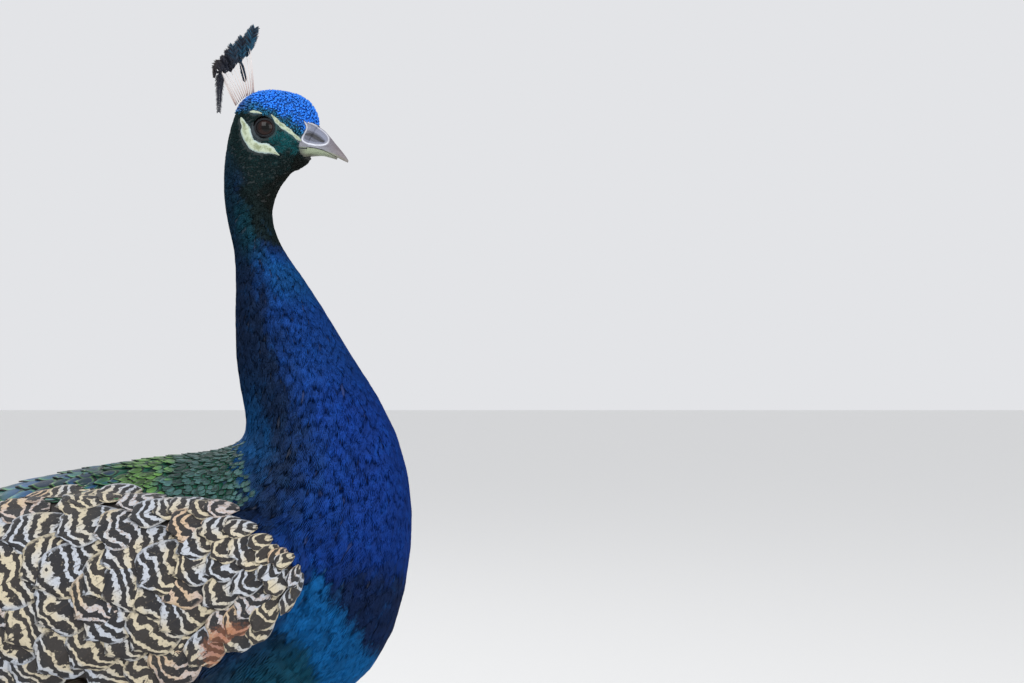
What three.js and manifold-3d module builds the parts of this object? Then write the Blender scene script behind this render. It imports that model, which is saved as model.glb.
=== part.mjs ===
// An adult male Indian peafowl (Pavo cristatus), life size, standing on both feet with its neck up and
// its folded train trailing on the floor behind it. Millimetres, +Z up. The bird faces +X and its right
// side is at -Y. The outline is that of the plumage, out to the tips of the crest, wings and train.
import * as THREE from "three";
import { mergeVertices } from "three/addons/utils/BufferGeometryUtils.js";
import Module from "manifold-3d";

const wasm = await Module();
wasm.setup();

// ---------------------------------------------------------------- driving dimensions
const GAP = 0.3; // between pieces that touch
const BODY_SIDES = 20; // facets round the head, neck and trunk
const TRAIN_SIDES = 18;
const TAIL_SIDES = 14;
const THIGH_SIDES = 12;
const SHANK_SIDES = 10;
const TOE_SIDES = 7;
const HORN_SIDES = 6; // round claws and spurs
const TIP_SIDES = 6; // round the ends of the train's feathers
const SIDES = { right: -1, left: 1 }; // the sign of Y

// Stations down the bird from the bill's root, over the head, down the neck and along the trunk to the
// rump. Each is one ring: its upper (dorsal) point, its lower (ventral) point, half its width, and how much
// wider it is above its middle than below.
const BODY = [
  // upper x, z    lower x, z   half width  top-heavy
  [109.0, 677.6, 97.5, 651.0, 8.6, 0.0],
  [105.0, 690.2, 92.5, 645.5, 12.4, 0.1],
  [96.4, 698.8, 87.5, 639.5, 15.8, 0.18],
  [84.0, 702.5, 83.0, 634.0, 18.2, 0.24],
  [71.0, 704.3, 79.5, 629.0, 19.2, 0.26],
  [58.0, 702.0, 76.8, 624.5, 19.4, 0.22],
  [48.0, 695.0, 74.8, 619.5, 19.2, 0.14],
  [42.3, 684.0, 73.3, 614.5, 18.8, 0.06],
  [38.0, 670.0, 72.6, 609.5, 18.4, 0.0],
  [34.5, 654.0, 72.6, 604.5, 18.3, 0.0],
  [33.0, 637.0, 73.6, 599.0, 18.6, 0.0],
  [33.2, 620.0, 75.6, 592.5, 19.0, 0.0],
  [35.5, 603.0, 79.0, 585.0, 19.6, 0.0],
  [39.5, 587.0, 83.8, 577.0, 20.6, 0.0],
  [42.0, 570.0, 91.0, 567.0, 22.3, 0.0],
  [42.3, 550.0, 101.0, 553.0, 25.3, 0.0],
  [41.5, 527.0, 113.5, 534.0, 29.6, 0.0],
  [41.0, 505.0, 128.0, 510.0, 35.0, 0.0],
  [43.0, 484.0, 145.0, 484.0, 41.0, 0.0],
  [46.0, 464.0, 161.0, 458.5, 47.5, 0.0],
  [49.0, 448.0, 173.0, 433.0, 54.0, 0.0],
  [49.0, 437.0, 181.0, 405.0, 60.5, 0.02],
  [42.0, 431.0, 184.5, 375.0, 66.5, 0.04],
  [30.0, 427.5, 183.5, 344.0, 72.0, 0.05],
  [14.0, 425.0, 179.0, 313.0, 76.5, 0.06],
  [-6.0, 423.0, 170.0, 281.0, 80.0, 0.07],
  [-28.0, 420.0, 153.0, 251.0, 82.5, 0.08],
  [-51.0, 416.5, 126.0, 226.0, 83.5, 0.08],
  [-75.0, 412.0, 91.0, 211.0, 83.0, 0.08],
  [-99.0, 407.0, 51.0, 205.0, 80.5, 0.08],
  [-123.0, 401.0, 9.0, 206.0, 76.5, 0.08],
  [-147.0, 393.0, -33.0, 214.0, 70.5, 0.07],
  [-171.0, 384.0, -74.0, 228.0, 63.0, 0.06],
  [-195.0, 374.0, -113.0, 246.0, 54.5, 0.05],
  [-219.0, 363.0, -150.0, 266.0, 45.0, 0.04],
  [-243.0, 351.0, -186.0, 287.0, 34.5, 0.02],
  [-262.0, 340.0, -218.0, 306.0, 24.0, 0.0],
];
// Where that body is parted, as places along BODY, with the rings that each length gets.
const LENGTHS = {
  head: { from: 0, to: 8.5, rings: 12 },
  neck_upper: { from: 8.5, to: 13.5, rings: 5 },
  neck_middle: { from: 13.5, to: 17.5, rings: 4 },
  neck_lower: { from: 17.5, to: 21, rings: 4 },
  trunk: { from: 21, to: 36, rings: 16 },
};

// The eyeball; inset is its middle from the mid-plane.
const EYE = { x: 68.1, z: 673, inset: 11.6, radius: 10, around: 12, down: 7 };

// Bill sections: ridge or keel x, z, cutting edge x, z and half width.
const BILL_UPPER = [
  [107.2, 676.4, 100.4, 659.3, 8.4],
  [112.6, 672.6, 106.2, 658.5, 7.4],
  [117.3, 667.4, 112.2, 656.9, 6.1],
  [121.8, 661.8, 117.8, 654.2, 4.7],
  [126.0, 656.8, 123.8, 651.0, 3.2],
  [129.4, 652.4, 128.2, 648.8, 1.9],
  [131.4, 649.2, 131.0, 647.5, 0.7],
];
const BILL_LOWER = [
  [97.8, 651.7, 100.2, 659.0, 7.9],
  [105.0, 652.4, 106.0, 658.2, 6.9],
  [111.6, 652.6, 112.0, 656.6, 5.5],
  [117.2, 651.3, 117.9, 653.9, 3.9],
  [122.2, 649.8, 122.8, 651.5, 1.6],
];
// The feathers of the chin, which jut forward under the bill.
const CHIN = { x: 95.5, z: 650, slope: 0.62, size: [12.5, 5.8, 4.4], around: 10, down: 6 };
const BILL_POINTS = 9;
const BILL_ROUND = 0.85; // the power of the cosine that rounds a section; less is fuller

// The crest is a fan of bare shafts in the mid-plane, each with a paddle at its tip.
const CREST = {
  feathers: 13, // in the fan
  pad: { x: 50, z: 697, slope: 0.72, size: [8, 5, 4.5], around: 8, down: 6 },
  shaft: 0.55, // half its thickness
  paddle: {
    thickness: 0.8,
    thinnest: 0.6, // at its tip, of the thickness
    places: [0.4, 0.75, 1],
    widths: [0.9, 1, 0.3],
  },
  spread: 5, // how far the tips stand to the sides
  ranks: 5, // the feathers stand in turn in this many planes across that spread
  // x and z of a shaft's root, bend and top and of its paddle's bend and end, and the paddle's half width:
  // the fan from its front feather to its rear one
  fan: [
    [57.5, 702, 57, 720, 55, 735.5, 56, 744, 58.8, 751.5, 4.3],
    [53, 700, 51, 713, 46.5, 725.5, 44.5, 734, 45.5, 741, 4],
    [48.5, 697, 43, 709, 37, 718, 33.5, 726, 32, 727, 3.6],
    [44, 692.5, 37, 706, 31, 719, 27.5, 729, 25.8, 715, 1.9],
  ],
  // one that hangs behind, and a short one
  loose: [
    [43.5, 692, 36, 706, 32.3, 717, 31.3, 722, 30.6, 687, 3.3],
    [52.5, 700, 52, 706, 50.3, 711, 49.5, 718, 47.3, 725, 1.9],
  ],
};

// Folded wing: stations of the shield of scapulars and coverts, from the bend of the wing to its tip. It lies
// on the trunk, and behind the trunk its outer side follows an ellipse: centre height, reach up and down,
// half width.
const WING = [
  // x, top z, bottom z, thickness, centre z, up, down, half width
  [107, 350, 338, 3, 324, 120, 150, 60],
  [102, 361, 319, 9, 323, 120, 150, 64],
  [88, 373, 297, 14, 321, 118, 150, 70],
  [62, 384, 276, 17, 319, 116, 150, 76],
  [22, 392, 258, 18, 316, 112, 150, 82],
  [-30, 395, 249, 18, 314, 108, 150, 86],
  [-85, 394, 247, 18, 311, 104, 148, 86],
  [-140, 388, 251, 17, 310, 97, 142, 80],
  [-195, 378, 259, 15, 311, 88, 132, 71],
  [-250, 364, 270, 13, 313, 76, 116, 62],
  [-300, 345, 284, 10, 315, 62, 94, 55],
  [-330, 332, 296, 7, 315, 52, 72, 50],
  [-346, 323, 305, 4, 314, 44, 60, 46],
];
const SHIELD_DEPTH = 0.66; // the inner side of a section, as a share of its outer size
const INNER = { narrower: 0.25, deeper: 1 / 3 }; // how the inner side differs beyond that share
const WING_REACH = 0.98; // sections stop short of their ellipse's ends by the rest
const WING_EDGE = 0.3; // how much of its thickness a wing keeps at its upper and lower edges
const WING_ROUND = 0.6; // the power of the sine that it swells by between them
const WING_SOFT = 8; // how softly it turns from the trunk to its own ellipse
const SHIELD_RINGS = 12;
const SHIELD_POINTS = { outer: 8, inner: 4 };
// The chestnut primaries show as a strip below the shield, longer than it behind.
const PRIMARIES = {
  front: 80,
  rear: -385,
  overlap: 6, // how far they reach up behind the shield's lower edge
  show: 21,
  tip: 10,
  rise: 0.08, // of the length past the shield's end
  thickness: 9,
  depth: 0.8,
  rings: 9,
  frontHeight: 0.35, // of its height, where it comes out
  opens: 6, // it is as high as it gets past one part in this many of its length
};
const PRIMARY_POINTS = { outer: 4, inner: 2 };

// Train: stations along it with the height of its top, half width, thickness and its edges' hang.
const TRAIN = [
  [-146, 402.5, 56, 11, 16],
  [-175, 400.5, 68, 34, 20],
  [-215, 396.0, 80, 60, 26],
  [-265, 387.0, 92, 74, 32],
  [-340, 368.0, 106, 70, 36],
  [-470, 329.0, 126, 62, 38],
  [-610, 277.0, 144, 54, 38],
  [-750, 222.0, 158, 48, 36],
  [-890, 169.0, 168, 42, 32],
  [-1030, 117.0, 174, 38, 28],
  [-1160, 77.0, 172, 34, 22],
  [-1270, 47.5, 162, 31, 15],
  [-1350, 31.0, 146, 28, 8],
  [-1410, 23.0, 122, 24, 4],
  [-1450, 17.0, 96, 19, 3],
];
const TRAIN_ROUND = 0.8; // the power of the cosine that rounds a section
const TRAIN_LENGTHS = {
  train_base: { from: 0, to: 4.6, rings: 6 },
  train_middle: { from: 4.6, to: 9.2, rings: 6 },
  train_end: { from: 9.2, to: 14, rings: 6 },
};
// The longest train feathers stand out past the end as thin blades with rounded tips.
const TRAIN_TIPS = {
  count: 11,
  root: -1370,
  depth: 14, // of the root below the train's top
  reach: 165,
  spread: 118,
  width: 15,
  thickness: 3.2,
  lift: 4, // of the tips' middles above the floor
  outer: 0.5, // how much shorter the outermost are
  splay: [0.75, 1.03], // how far across their spread they are at their roots and at their tips
  places: [0, 0.8, 1],
  widths: [0.8, 1, 0.4],
};

// Tail under the train: x, top z, half width and thickness.
const TAIL_HANG = 10; // how far its edges hang down
const TAIL_RINGS = 10;
const TAIL = [
  [-236, 322, 24, 26],
  [-290, 301, 42, 16],
  [-380, 281, 60, 11],
  [-480, 257, 72, 9],
  [-580, 222, 76, 8],
  [-630, 203, 62, 7],
  [-655, 193, 34, 6],
];

// Legs: the hock stands behind the toes, and one foot is a little ahead of the other.
const LEG = {
  apart: 50, // each foot's distance from the mid-plane
  ball: 12, // the toes' root along X, at mid stride
  stride: 16,
  hockBehind: 50,
};
const THIGH = [
  // ahead of the hock, z, half length fore and aft, half width, set in from the foot
  [52, 300, 50, 30, 6],
  [44, 262, 46, 32, 3],
  [30, 228, 37, 28, 0],
  [15, 198, 25, 20, 0],
  [5, 174, 15, 13, 0],
  [1, 158, 9.5, 9, 0],
];
const SHANK = [
  // ahead of the ball, z, half thickness fore and aft, half width
  [-49, 162, 8.0, 7.0],
  [-50, 150, 9.4, 8.2], // the hock
  [-44, 136, 7.0, 5.8],
  [-28, 96, 5.6, 4.9],
  [-13, 54, 5.4, 4.9],
  [-3, 24, 6.8, 7.0],
  [2, 11, 8.6, 9.0],
  [4, 5, 7.6, 8.0],
];
const TOES = {
  // heading from straight ahead, outwards positive; length; root and tip radius
  inner: { turn: -30, length: 50, root: 5.6, tip: 4.2 },
  middle: { turn: 2, length: 68, root: 6.0, tip: 4.4 },
  outer: { turn: 34, length: 54, root: 5.6, tip: 4.2 },
  hind: { turn: 192, length: 27, root: 4.8, tip: 3.6 },
};
const PADS = { places: [0, 0.25, 0.5, 0.75, 1], swell: [1, 0.94, 1.05, 0.96, 0.88], sink: 0.8 };
const INSTEP = { high: 9.5, reach: 0.3 }; // toes come down from the ball over this share of their length
// A claw is set into its toe, flatter than it is wide, and bends down to the floor.
const CLAW = {
  length: 14,
  set: 2,
  root: 3.1,
  tip: 0.5,
  places: [0, 0.55, 1],
  bend: 1.8,
  taper: 0.8,
  flat: 0.8,
};
// The spur stands at a place along SHANK and points back and inwards.
const SPUR = {
  place: 3.52,
  length: 20,
  set: 4,
  root: 4.4,
  tip: 0.8,
  turn: 160,
  tilt: 0.1,
  rise: 4,
  places: [0, 0.4, 0.75, 1],
};

const FLOOR = { x: -600, size: [4000, 1000, 100] }; // the block that flattens what stands on it

// ---------------------------------------------------------------- finishes
const finish = (color, roughness, metalness = 0) =>
  new THREE.MeshStandardMaterial({ color, roughness, metalness });
const FINISHES = {
  crown: finish(0x1a4fae, 0.4, 0.3),
  neck: finish(0x0b2f80, 0.4, 0.3),
  trunk: finish(0x0d3a4a, 0.5, 0.2),
  barred: finish(0x9a9078, 0.7),
  chestnut: finish(0xa5663a, 0.6),
  train: finish(0x3a6b3c, 0.45, 0.3),
  tail: finish(0x5a4c3d, 0.7),
  thigh: finish(0x9c8a70, 0.8),
  leg: finish(0x7d7468, 0.6),
  claw: finish(0x3c352e, 0.4),
  bill: finish(0x9b8f93, 0.4),
  eye: finish(0x1c0f0b, 0.1),
  crest: finish(0x14323f, 0.5, 0.2),
};

// ---------------------------------------------------------------- shape tools
// A smooth row between the rows of a table, at a place that need not be whole.
function rowAt(table, place) {
  const last = table.length - 1;
  const i = Math.min(Math.floor(place), last - 1);
  const t = place - i;
  const [a, b, c, d] = [-1, 0, 1, 2].map((k) => table[Math.min(Math.max(i + k, 0), last)]);
  return b.map((_, k) => {
    const [p, q, r, s] = [a[k], b[k], c[k], d[k]];
    return q + 0.5 * t * (r - p + t * (2 * p - 5 * q + 4 * r - s + t * (3 * (q - r) + s - p)));
  });
}

// The place along a table whose first column falls, where that column has a given value.
function placeOf(table, x) {
  const i = Math.max(
    table.findIndex((row) => row[0] <= x),
    1,
  );
  return i - 1 + (table[i - 1][0] - x) / (table[i - 1][0] - table[i][0]);
}

const steps = (from, to, count) =>
  Array.from({ length: count }, (_, i) => from + ((to - from) * i) / (count - 1));

// Triangles that fill a flat ring, wound as the ring is.
function fill(ring) {
  const normal = new THREE.Vector3();
  ring.forEach((p, i) => normal.add(p.clone().cross(ring[(i + 1) % ring.length])));
  normal.normalize();
  const across = new THREE.Vector3(0, 1, 0).cross(normal).normalize();
  const up = normal.clone().cross(across);
  const outline = ring.map((p) => new THREE.Vector2(p.dot(across), p.dot(up)));
  return THREE.ShapeUtils.triangulateShape(outline, []).map((face) => {
    const [a, b, c] = face.map((k) => outline[k]);
    return b.clone().sub(a).cross(c.clone().sub(a)) < 0 ? [...face].reverse() : face;
  });
}

// A closed skin through rings of equal count.
function loft(rings) {
  const n = rings[0].length;
  const index = [];
  for (let i = 0; i < n; i++) {
    const j = (i + 1) % n;
    for (let k = 0; k < rings.length - 1; k++) {
      const [a, b, c, d] = [k * n + i, k * n + j, (k + 1) * n + j, (k + 1) * n + i];
      index.push(a, b, c, a, c, d);
    }
  }
  const top = (rings.length - 1) * n;
  for (const face of fill(rings[0])) index.push(...[...face].reverse());
  for (const face of fill(rings.at(-1))) index.push(...face.map((k) => k + top));
  const geometry = new THREE.BufferGeometry().setFromPoints(rings.flat());
  geometry.setIndex(index);
  return solid(geometry);
}

// The signed volume of a mesh, which is negative where its faces point inwards.
function signedVolume(position, index) {
  const [a, b, c] = [new THREE.Vector3(), new THREE.Vector3(), new THREE.Vector3()];
  let sum = 0;
  for (let i = 0; i < index.length; i += 3) {
    a.fromBufferAttribute(position, index[i]);
    b.fromBufferAttribute(position, index[i + 1]);
    c.fromBufferAttribute(position, index[i + 2]);
    sum += a.dot(b.cross(c)) / 6;
  }
  return sum;
}

// A solid from a closed geometry, turned to face outwards.
function solid(geometry) {
  const bare = geometry.clone();
  bare.deleteAttribute("normal");
  bare.deleteAttribute("uv");
  const merged = mergeVertices(bare, 1e-4);
  const triVerts = new Uint32Array(merged.index.array);
  const position = merged.getAttribute("position");
  if (signedVolume(position, triVerts) < 0)
    for (let i = 0; i < triVerts.length; i += 3)
      [triVerts[i], triVerts[i + 1]] = [triVerts[i + 1], triVerts[i]];
  return new wasm.Manifold(new wasm.Mesh({ numProp: 3, vertProperties: position.array, triVerts }));
}

// A solid whose every face is moved out by the gap, to cut a neighbour that touches it.
function grown(body) {
  const { vertProperties, triVerts } = body.getMesh();
  const corners = Array.from({ length: vertProperties.length / 3 }, (_, i) =>
    new THREE.Vector3().fromArray(vertProperties, 3 * i),
  );
  const faces = corners.map(() => []);
  for (let i = 0; i < triVerts.length; i += 3) {
    const [a, b, c] = [0, 1, 2].map((k) => corners[triVerts[i + k]]);
    const normal = new THREE.Triangle(a, b, c).getNormal(new THREE.Vector3());
    for (let k = 0; k < 3; k++) {
      const [here, next, last] = [0, 1, 2].map((j) => corners[triVerts[i + ((k + j) % 3)]]);
      const corner = next.clone().sub(here).angleTo(last.clone().sub(here));
      faces[triVerts[i + k]].push({ normal, corner });
    }
  }
  const moved = vertProperties.slice();
  corners.forEach((corner, i) => {
    const out = new THREE.Vector3();
    for (const face of faces[i]) out.addScaledVector(face.normal, face.corner);
    out.normalize();
    const least = Math.min(1, ...faces[i].map((face) => face.normal.dot(out)));
    corner.addScaledVector(out, GAP / Math.max(least, 0.5)).toArray(moved, 3 * i);
  });
  return new wasm.Manifold(new wasm.Mesh({ numProp: 3, vertProperties: moved, triVerts }));
}

// What is left of a solid when others are cut away, without the loose chips.
function cut(from, ...tools) {
  const left = tools.reduce((body, tool) => body.subtract(tool), from);
  return left.decompose().reduce((a, b) => (b.volume() > a.volume() ? b : a));
}

// The floor as a block.
const floorBlock = solid(new THREE.BoxGeometry(...FLOOR.size).translate(FLOOR.x, 0, -FLOOR.size[2] / 2));

// A tapering limb through points. Each has a half thickness upright to its run and one level with the floor.
function limb(points, sizes, sides) {
  return loft(
    points.map((p, i) => {
      const along = (points[i + 1] ?? p).clone().sub(points[i - 1] ?? p);
      const across = new THREE.Vector3(0, 1, 0).cross(along).normalize();
      const sideways = new THREE.Vector3().crossVectors(along, across).normalize();
      return Array.from({ length: sides }, (_, k) => {
        const turn = (2 * Math.PI * k) / sides;
        return p
          .clone()
          .addScaledVector(across, Math.cos(turn) * sizes[i][0])
          .addScaledVector(sideways, Math.sin(turn) * sizes[i][1]);
      });
    }),
  );
}

// ---------------------------------------------------------------- head, neck and trunk
// One ring of the body, moved along its own axis by shift.
function bodyRing(place, shift) {
  const [ux, uz, lx, lz, halfWidth, topHeavy] = rowAt(BODY, place);
  const upper = new THREE.Vector3(ux, 0, uz);
  const lower = new THREE.Vector3(lx, 0, lz);
  const middle = upper.clone().lerp(lower, 0.5);
  const up = upper.clone().sub(middle);
  const reach = up.length();
  up.normalize();
  const along = new THREE.Vector3(up.z, 0, -up.x);
  return Array.from({ length: BODY_SIDES }, (_, k) => {
    const turn = (2 * Math.PI * k) / BODY_SIDES;
    const width = halfWidth * (1 + topHeavy * Math.cos(turn));
    return middle
      .clone()
      .addScaledVector(up, reach * Math.cos(turn))
      .addScaledVector(along, shift)
      .add(new THREE.Vector3(0, width * Math.sin(turn), 0));
  });
}

// How far an end ring is drawn in, so that two lengths leave one gap between them.
const drawnIn = (i, rings) => (GAP / 2) * ((i === rings - 1 ? 1 : 0) - (i === 0 ? 1 : 0));

function bodyLength({ from, to, rings }) {
  return loft(steps(from, to, rings).map((place, i) => bodyRing(place, drawnIn(i, rings))));
}

// ---------------------------------------------------------------- bill, eyes and crest
// One half of the bill: an arc from edge to edge over its ridge or keel, with a flat face that meets the
// other half.
function billHalf(table) {
  return loft(
    table.map(([ridgeX, ridgeZ, edgeX, edgeZ, halfWidth]) =>
      steps(-Math.PI / 2, Math.PI / 2, BILL_POINTS).map((turn) => {
        const rise = Math.cos(turn) ** BILL_ROUND;
        const y = halfWidth * Math.sin(turn);
        return new THREE.Vector3(edgeX + (ridgeX - edgeX) * rise, y, edgeZ + (ridgeZ - edgeZ) * rise);
      }),
    ),
  );
}

function eyeball(side) {
  const ball = new THREE.SphereGeometry(EYE.radius, EYE.around, EYE.down);
  return solid(ball.translate(EYE.x, side * EYE.inset, EYE.z));
}

// A low mound on the mid-plane.
function mound({ x, z, slope, size, around, down }) {
  const ball = new THREE.SphereGeometry(1, around, down);
  return solid(ball.scale(...size).rotateY(-slope).translate(x, 0, z));
}

// One crest feather: a bare shaft along a bend, and a flat paddle that follows on from it.
function crestFeather(row, number) {
  const out = CREST.spread * (((number * 2) % CREST.ranks) / 2 - 1);
  const [root, bend, top, knee, end] = [0, 1, 2, 3, 4].map(
    (k) => new THREE.Vector3(row[2 * k], (out * Math.min(k, 2)) / 2, row[2 * k + 1]),
  );
  const { thickness, thinnest, places, widths } = CREST.paddle;
  const width = row.at(-1);
  const shaft = new THREE.QuadraticBezierCurve3(root, bend, top).getPoints(2);
  const paddle = new THREE.QuadraticBezierCurve3(top, knee, end);
  const points = [...shaft, ...places.map((t) => paddle.getPoint(t))];
  const sizes = [
    ...shaft.map(() => [CREST.shaft, CREST.shaft]),
    ...widths.map((share) => [width * share, thickness * (thinnest + (1 - thinnest) * share)]),
  ];
  return limb(points, sizes, 4);
}

function crest(head) {
  const fan = steps(0, CREST.fan.length - 1, CREST.feathers).map((place) => rowAt(CREST.fan, place));
  const rows = [...fan, ...CREST.loose];
  return cut(rows.reduce((body, row, i) => body.add(crestFeather(row, i)), mound(CREST.pad)), head);
}

// ---------------------------------------------------------------- wings
// Half the trunk's width at a place seen from the side, or 0 outside it.
function trunkSide(x, z) {
  const point = new THREE.Vector2(x, z);
  const ends = (place) => {
    const [ux, uz, lx, lz] = rowAt(BODY, place);
    return [new THREE.Vector2(ux, uz), new THREE.Vector2(lx, lz)];
  };
  const ahead = (place) => {
    const [upper, lower] = ends(place);
    return lower.sub(upper).cross(point.clone().sub(upper)) > 0;
  };
  let [front, rear] = [LENGTHS.neck_lower.from, LENGTHS.trunk.to];
  if (ahead(front) || !ahead(rear)) return 0;
  while (rear - front > 0.01) {
    const between = (front + rear) / 2;
    if (ahead(between)) rear = between;
    else front = between;
  }
  const [upper, lower] = ends(front);
  const height = 1 - (2 * point.sub(upper).dot(lower.sub(upper))) / lower.lengthSq();
  const [, , , , halfWidth, topHeavy] = rowAt(BODY, front);
  return Math.abs(height) < 1 ? halfWidth * (1 + topHeavy * height) * Math.sqrt(1 - height * height) : 0;
}

// The greater of two lengths, with a soft turn from one to the other.
const softMax = (a, b) => (a + b + Math.hypot(a - b, WING_SOFT)) / 2;

// A section of a wing between two heights: an outer side, and an inner one that reaches towards the trunk.
function wingSection(place, side, { top, bottom, thickness, depth, points }) {
  const [x, , , , middle, up, down, halfWidth] = rowAt(WING, place);
  const outerAt = (t) => {
    const z = bottom + (top - bottom) * t;
    const reached = (z - middle) / (z > middle ? up : down);
    const height = THREE.MathUtils.clamp(reached, -WING_REACH, WING_REACH);
    const own = halfWidth * Math.sqrt(1 - height * height);
    const stand = thickness * (WING_EDGE + (1 - WING_EDGE) * Math.sin(Math.PI * t) ** WING_ROUND);
    return new THREE.Vector3(x, side * (softMax(own, trunkSide(x, z)) + stand), z);
  };
  const outer = steps(0, 1, points.outer).map(outerAt);
  const inner = steps(1, 0, points.inner).map((t) => {
    const p = outerAt(t);
    p.z = middle + (p.z - middle) * (1 - INNER.narrower * (1 - depth));
    p.y = side * (Math.abs(p.y) * depth - thickness * INNER.deeper);
    return p;
  });
  return [...outer, ...inner];
}

function wingShield(side) {
  return loft(
    steps(0, WING.length - 1, SHIELD_RINGS).map((place) => {
      const [, top, bottom, thickness] = rowAt(WING, place);
      return wingSection(place, side, { top, bottom, thickness, depth: SHIELD_DEPTH, points: SHIELD_POINTS });
    }),
  );
}

function wingPrimaries(side) {
  const { front, rear, overlap, show, tip, rise, thickness, depth, rings, frontHeight, opens } = PRIMARIES;
  const lastRow = WING.at(-1);
  return loft(
    steps(front, rear, rings).map((x, i) => {
      const share = i / (rings - 1);
      const place = placeOf(WING, Math.max(x, lastRow[0] + 0.01));
      const [, , bottom] = rowAt(WING, place);
      const past = Math.min(x - lastRow[0], 0);
      const height = (show - (show - tip) * share ** 3) * Math.min(1, frontHeight + share * opens);
      const section = wingSection(place, side, {
        top: bottom + overlap,
        bottom: bottom + overlap - height,
        thickness,
        depth,
        points: PRIMARY_POINTS,
      });
      return section.map((p) => p.add(new THREE.Vector3(past, 0, -past * rise)));
    }),
  );
}

// ---------------------------------------------------------------- train and tail
// A section of the folded train: a broad arch, thin at its edges.
function trainSection(place, shift) {
  const [x, top, halfWidth, thickness, hang] = rowAt(TRAIN, place);
  return Array.from({ length: TRAIN_SIDES }, (_, k) => {
    const turn = (2 * Math.PI * k) / TRAIN_SIDES;
    const across = Math.sin(turn);
    const rise = Math.cos(turn);
    const body = Math.sign(rise) * Math.abs(rise) ** TRAIN_ROUND;
    const z = top - thickness / 2 - hang * across * across + (body * thickness) / 2;
    return new THREE.Vector3(x + shift, halfWidth * across, z);
  });
}

function trainLength({ from, to, rings }) {
  return loft(steps(from, to, rings).map((place, i) => trainSection(place, drawnIn(i, rings))));
}

// One long feather at the end of the train, widest near its rounded tip.
function trainTip(share) {
  const { root, depth, reach, spread, width, thickness, lift, outer, splay, places, widths } = TRAIN_TIPS;
  const y = spread * share;
  const length = reach * (1 - outer * share * share);
  const rootZ = rowAt(TRAIN, placeOf(TRAIN, root))[1] - depth;
  const points = places.map(
    (t) =>
      new THREE.Vector3(
        root - length * t,
        y * THREE.MathUtils.lerp(...splay, t),
        THREE.MathUtils.lerp(rootZ, lift, t),
      ),
  );
  return limb(
    points,
    widths.map((w) => [thickness, width * w]),
    TIP_SIDES,
  );
}

// The last length of the train, with the feathers that stand out past it.
function trainEnd(length) {
  const whole = steps(-1, 1, TRAIN_TIPS.count).reduce((body, share) => body.add(trainTip(share)), length);
  return cut(whole, floorBlock);
}

function tailFan() {
  return loft(
    steps(0, TAIL.length - 1, TAIL_RINGS).map((place) => {
      const [x, top, halfWidth, thickness] = rowAt(TAIL, place);
      return Array.from({ length: TAIL_SIDES }, (_, k) => {
        const turn = (2 * Math.PI * k) / TAIL_SIDES;
        const across = Math.sin(turn);
        const z = top - thickness / 2 - TAIL_HANG * across * across + (Math.cos(turn) * thickness) / 2;
        return new THREE.Vector3(x, halfWidth * across, z);
      });
    }),
  );
}

// ---------------------------------------------------------------- legs
// Where a foot stands: the root of its toes.
const footAt = (side) => new THREE.Vector3(LEG.ball - side * LEG.stride, side * LEG.apart, 0);

function thigh(side) {
  const foot = footAt(side);
  const points = THIGH.map(
    ([ahead, z, , , inset]) => new THREE.Vector3(foot.x - LEG.hockBehind + ahead, foot.y - side * inset, z),
  );
  const sizes = THIGH.map(([, , fore, wide]) => [fore, wide]);
  return limb(points, sizes, THIGH_SIDES);
}

function shank(side) {
  const foot = footAt(side);
  const points = SHANK.map(([ahead, z]) => new THREE.Vector3(foot.x + ahead, foot.y, z));
  const sizes = SHANK.map(([, , fore, wide]) => [fore, wide]);
  return limb(points, sizes, SHANK_SIDES);
}

// The way a toe points on the floor, for a foot on one side.
function headingOf(turn, side) {
  const angle = THREE.MathUtils.degToRad(turn);
  return new THREE.Vector3(Math.cos(angle), side * Math.sin(angle), 0);
}

function toe({ turn, length, root, tip }, side) {
  const way = headingOf(turn, side);
  const start = footAt(side);
  const { places, swell, sink } = PADS;
  const points = places.map((t) => {
    const high = INSTEP.high * (1 - Math.min(1, t / INSTEP.reach)) + (root * (1 - t) + tip * t) * sink;
    return start
      .clone()
      .addScaledVector(way, length * t)
      .setZ(high);
  });
  const sizes = places.map((t, i) => {
    const radius = (root * (1 - t) + tip * t) * swell[i];
    return [radius, radius];
  });
  return limb(points, sizes, TOE_SIDES);
}

function claw({ turn, length, tip }, side) {
  const way = headingOf(turn, side);
  const start = footAt(side).addScaledVector(way, length - CLAW.set);
  const points = CLAW.places.map((t) =>
    start
      .clone()
      .addScaledVector(way, (CLAW.length + CLAW.set) * t)
      .setZ(tip * (1 - t ** CLAW.bend) + CLAW.tip),
  );
  const sizes = CLAW.places.map((t) => {
    const radius = CLAW.root * (1 - t) ** CLAW.taper + CLAW.tip * t;
    return [radius, radius * CLAW.flat];
  });
  return limb(points, sizes, HORN_SIDES);
}

function spur(side) {
  const [ahead, z] = rowAt(SHANK, SPUR.place);
  const start = footAt(side).add(new THREE.Vector3(ahead, 0, z));
  const way = headingOf(SPUR.turn, -side).setZ(SPUR.tilt).normalize();
  const points = SPUR.places.map((t) =>
    start
      .clone()
      .addScaledVector(way, (SPUR.length + SPUR.set) * t)
      .add(new THREE.Vector3(0, 0, SPUR.rise * t * t)),
  );
  const sizes = SPUR.places.map((t) => {
    const radius = SPUR.root * (1 - t) + SPUR.tip * t;
    return [radius, radius];
  });
  return limb(points, sizes, HORN_SIDES);
}

// ---------------------------------------------------------------- the bird
const bird = new THREE.Group();

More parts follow.
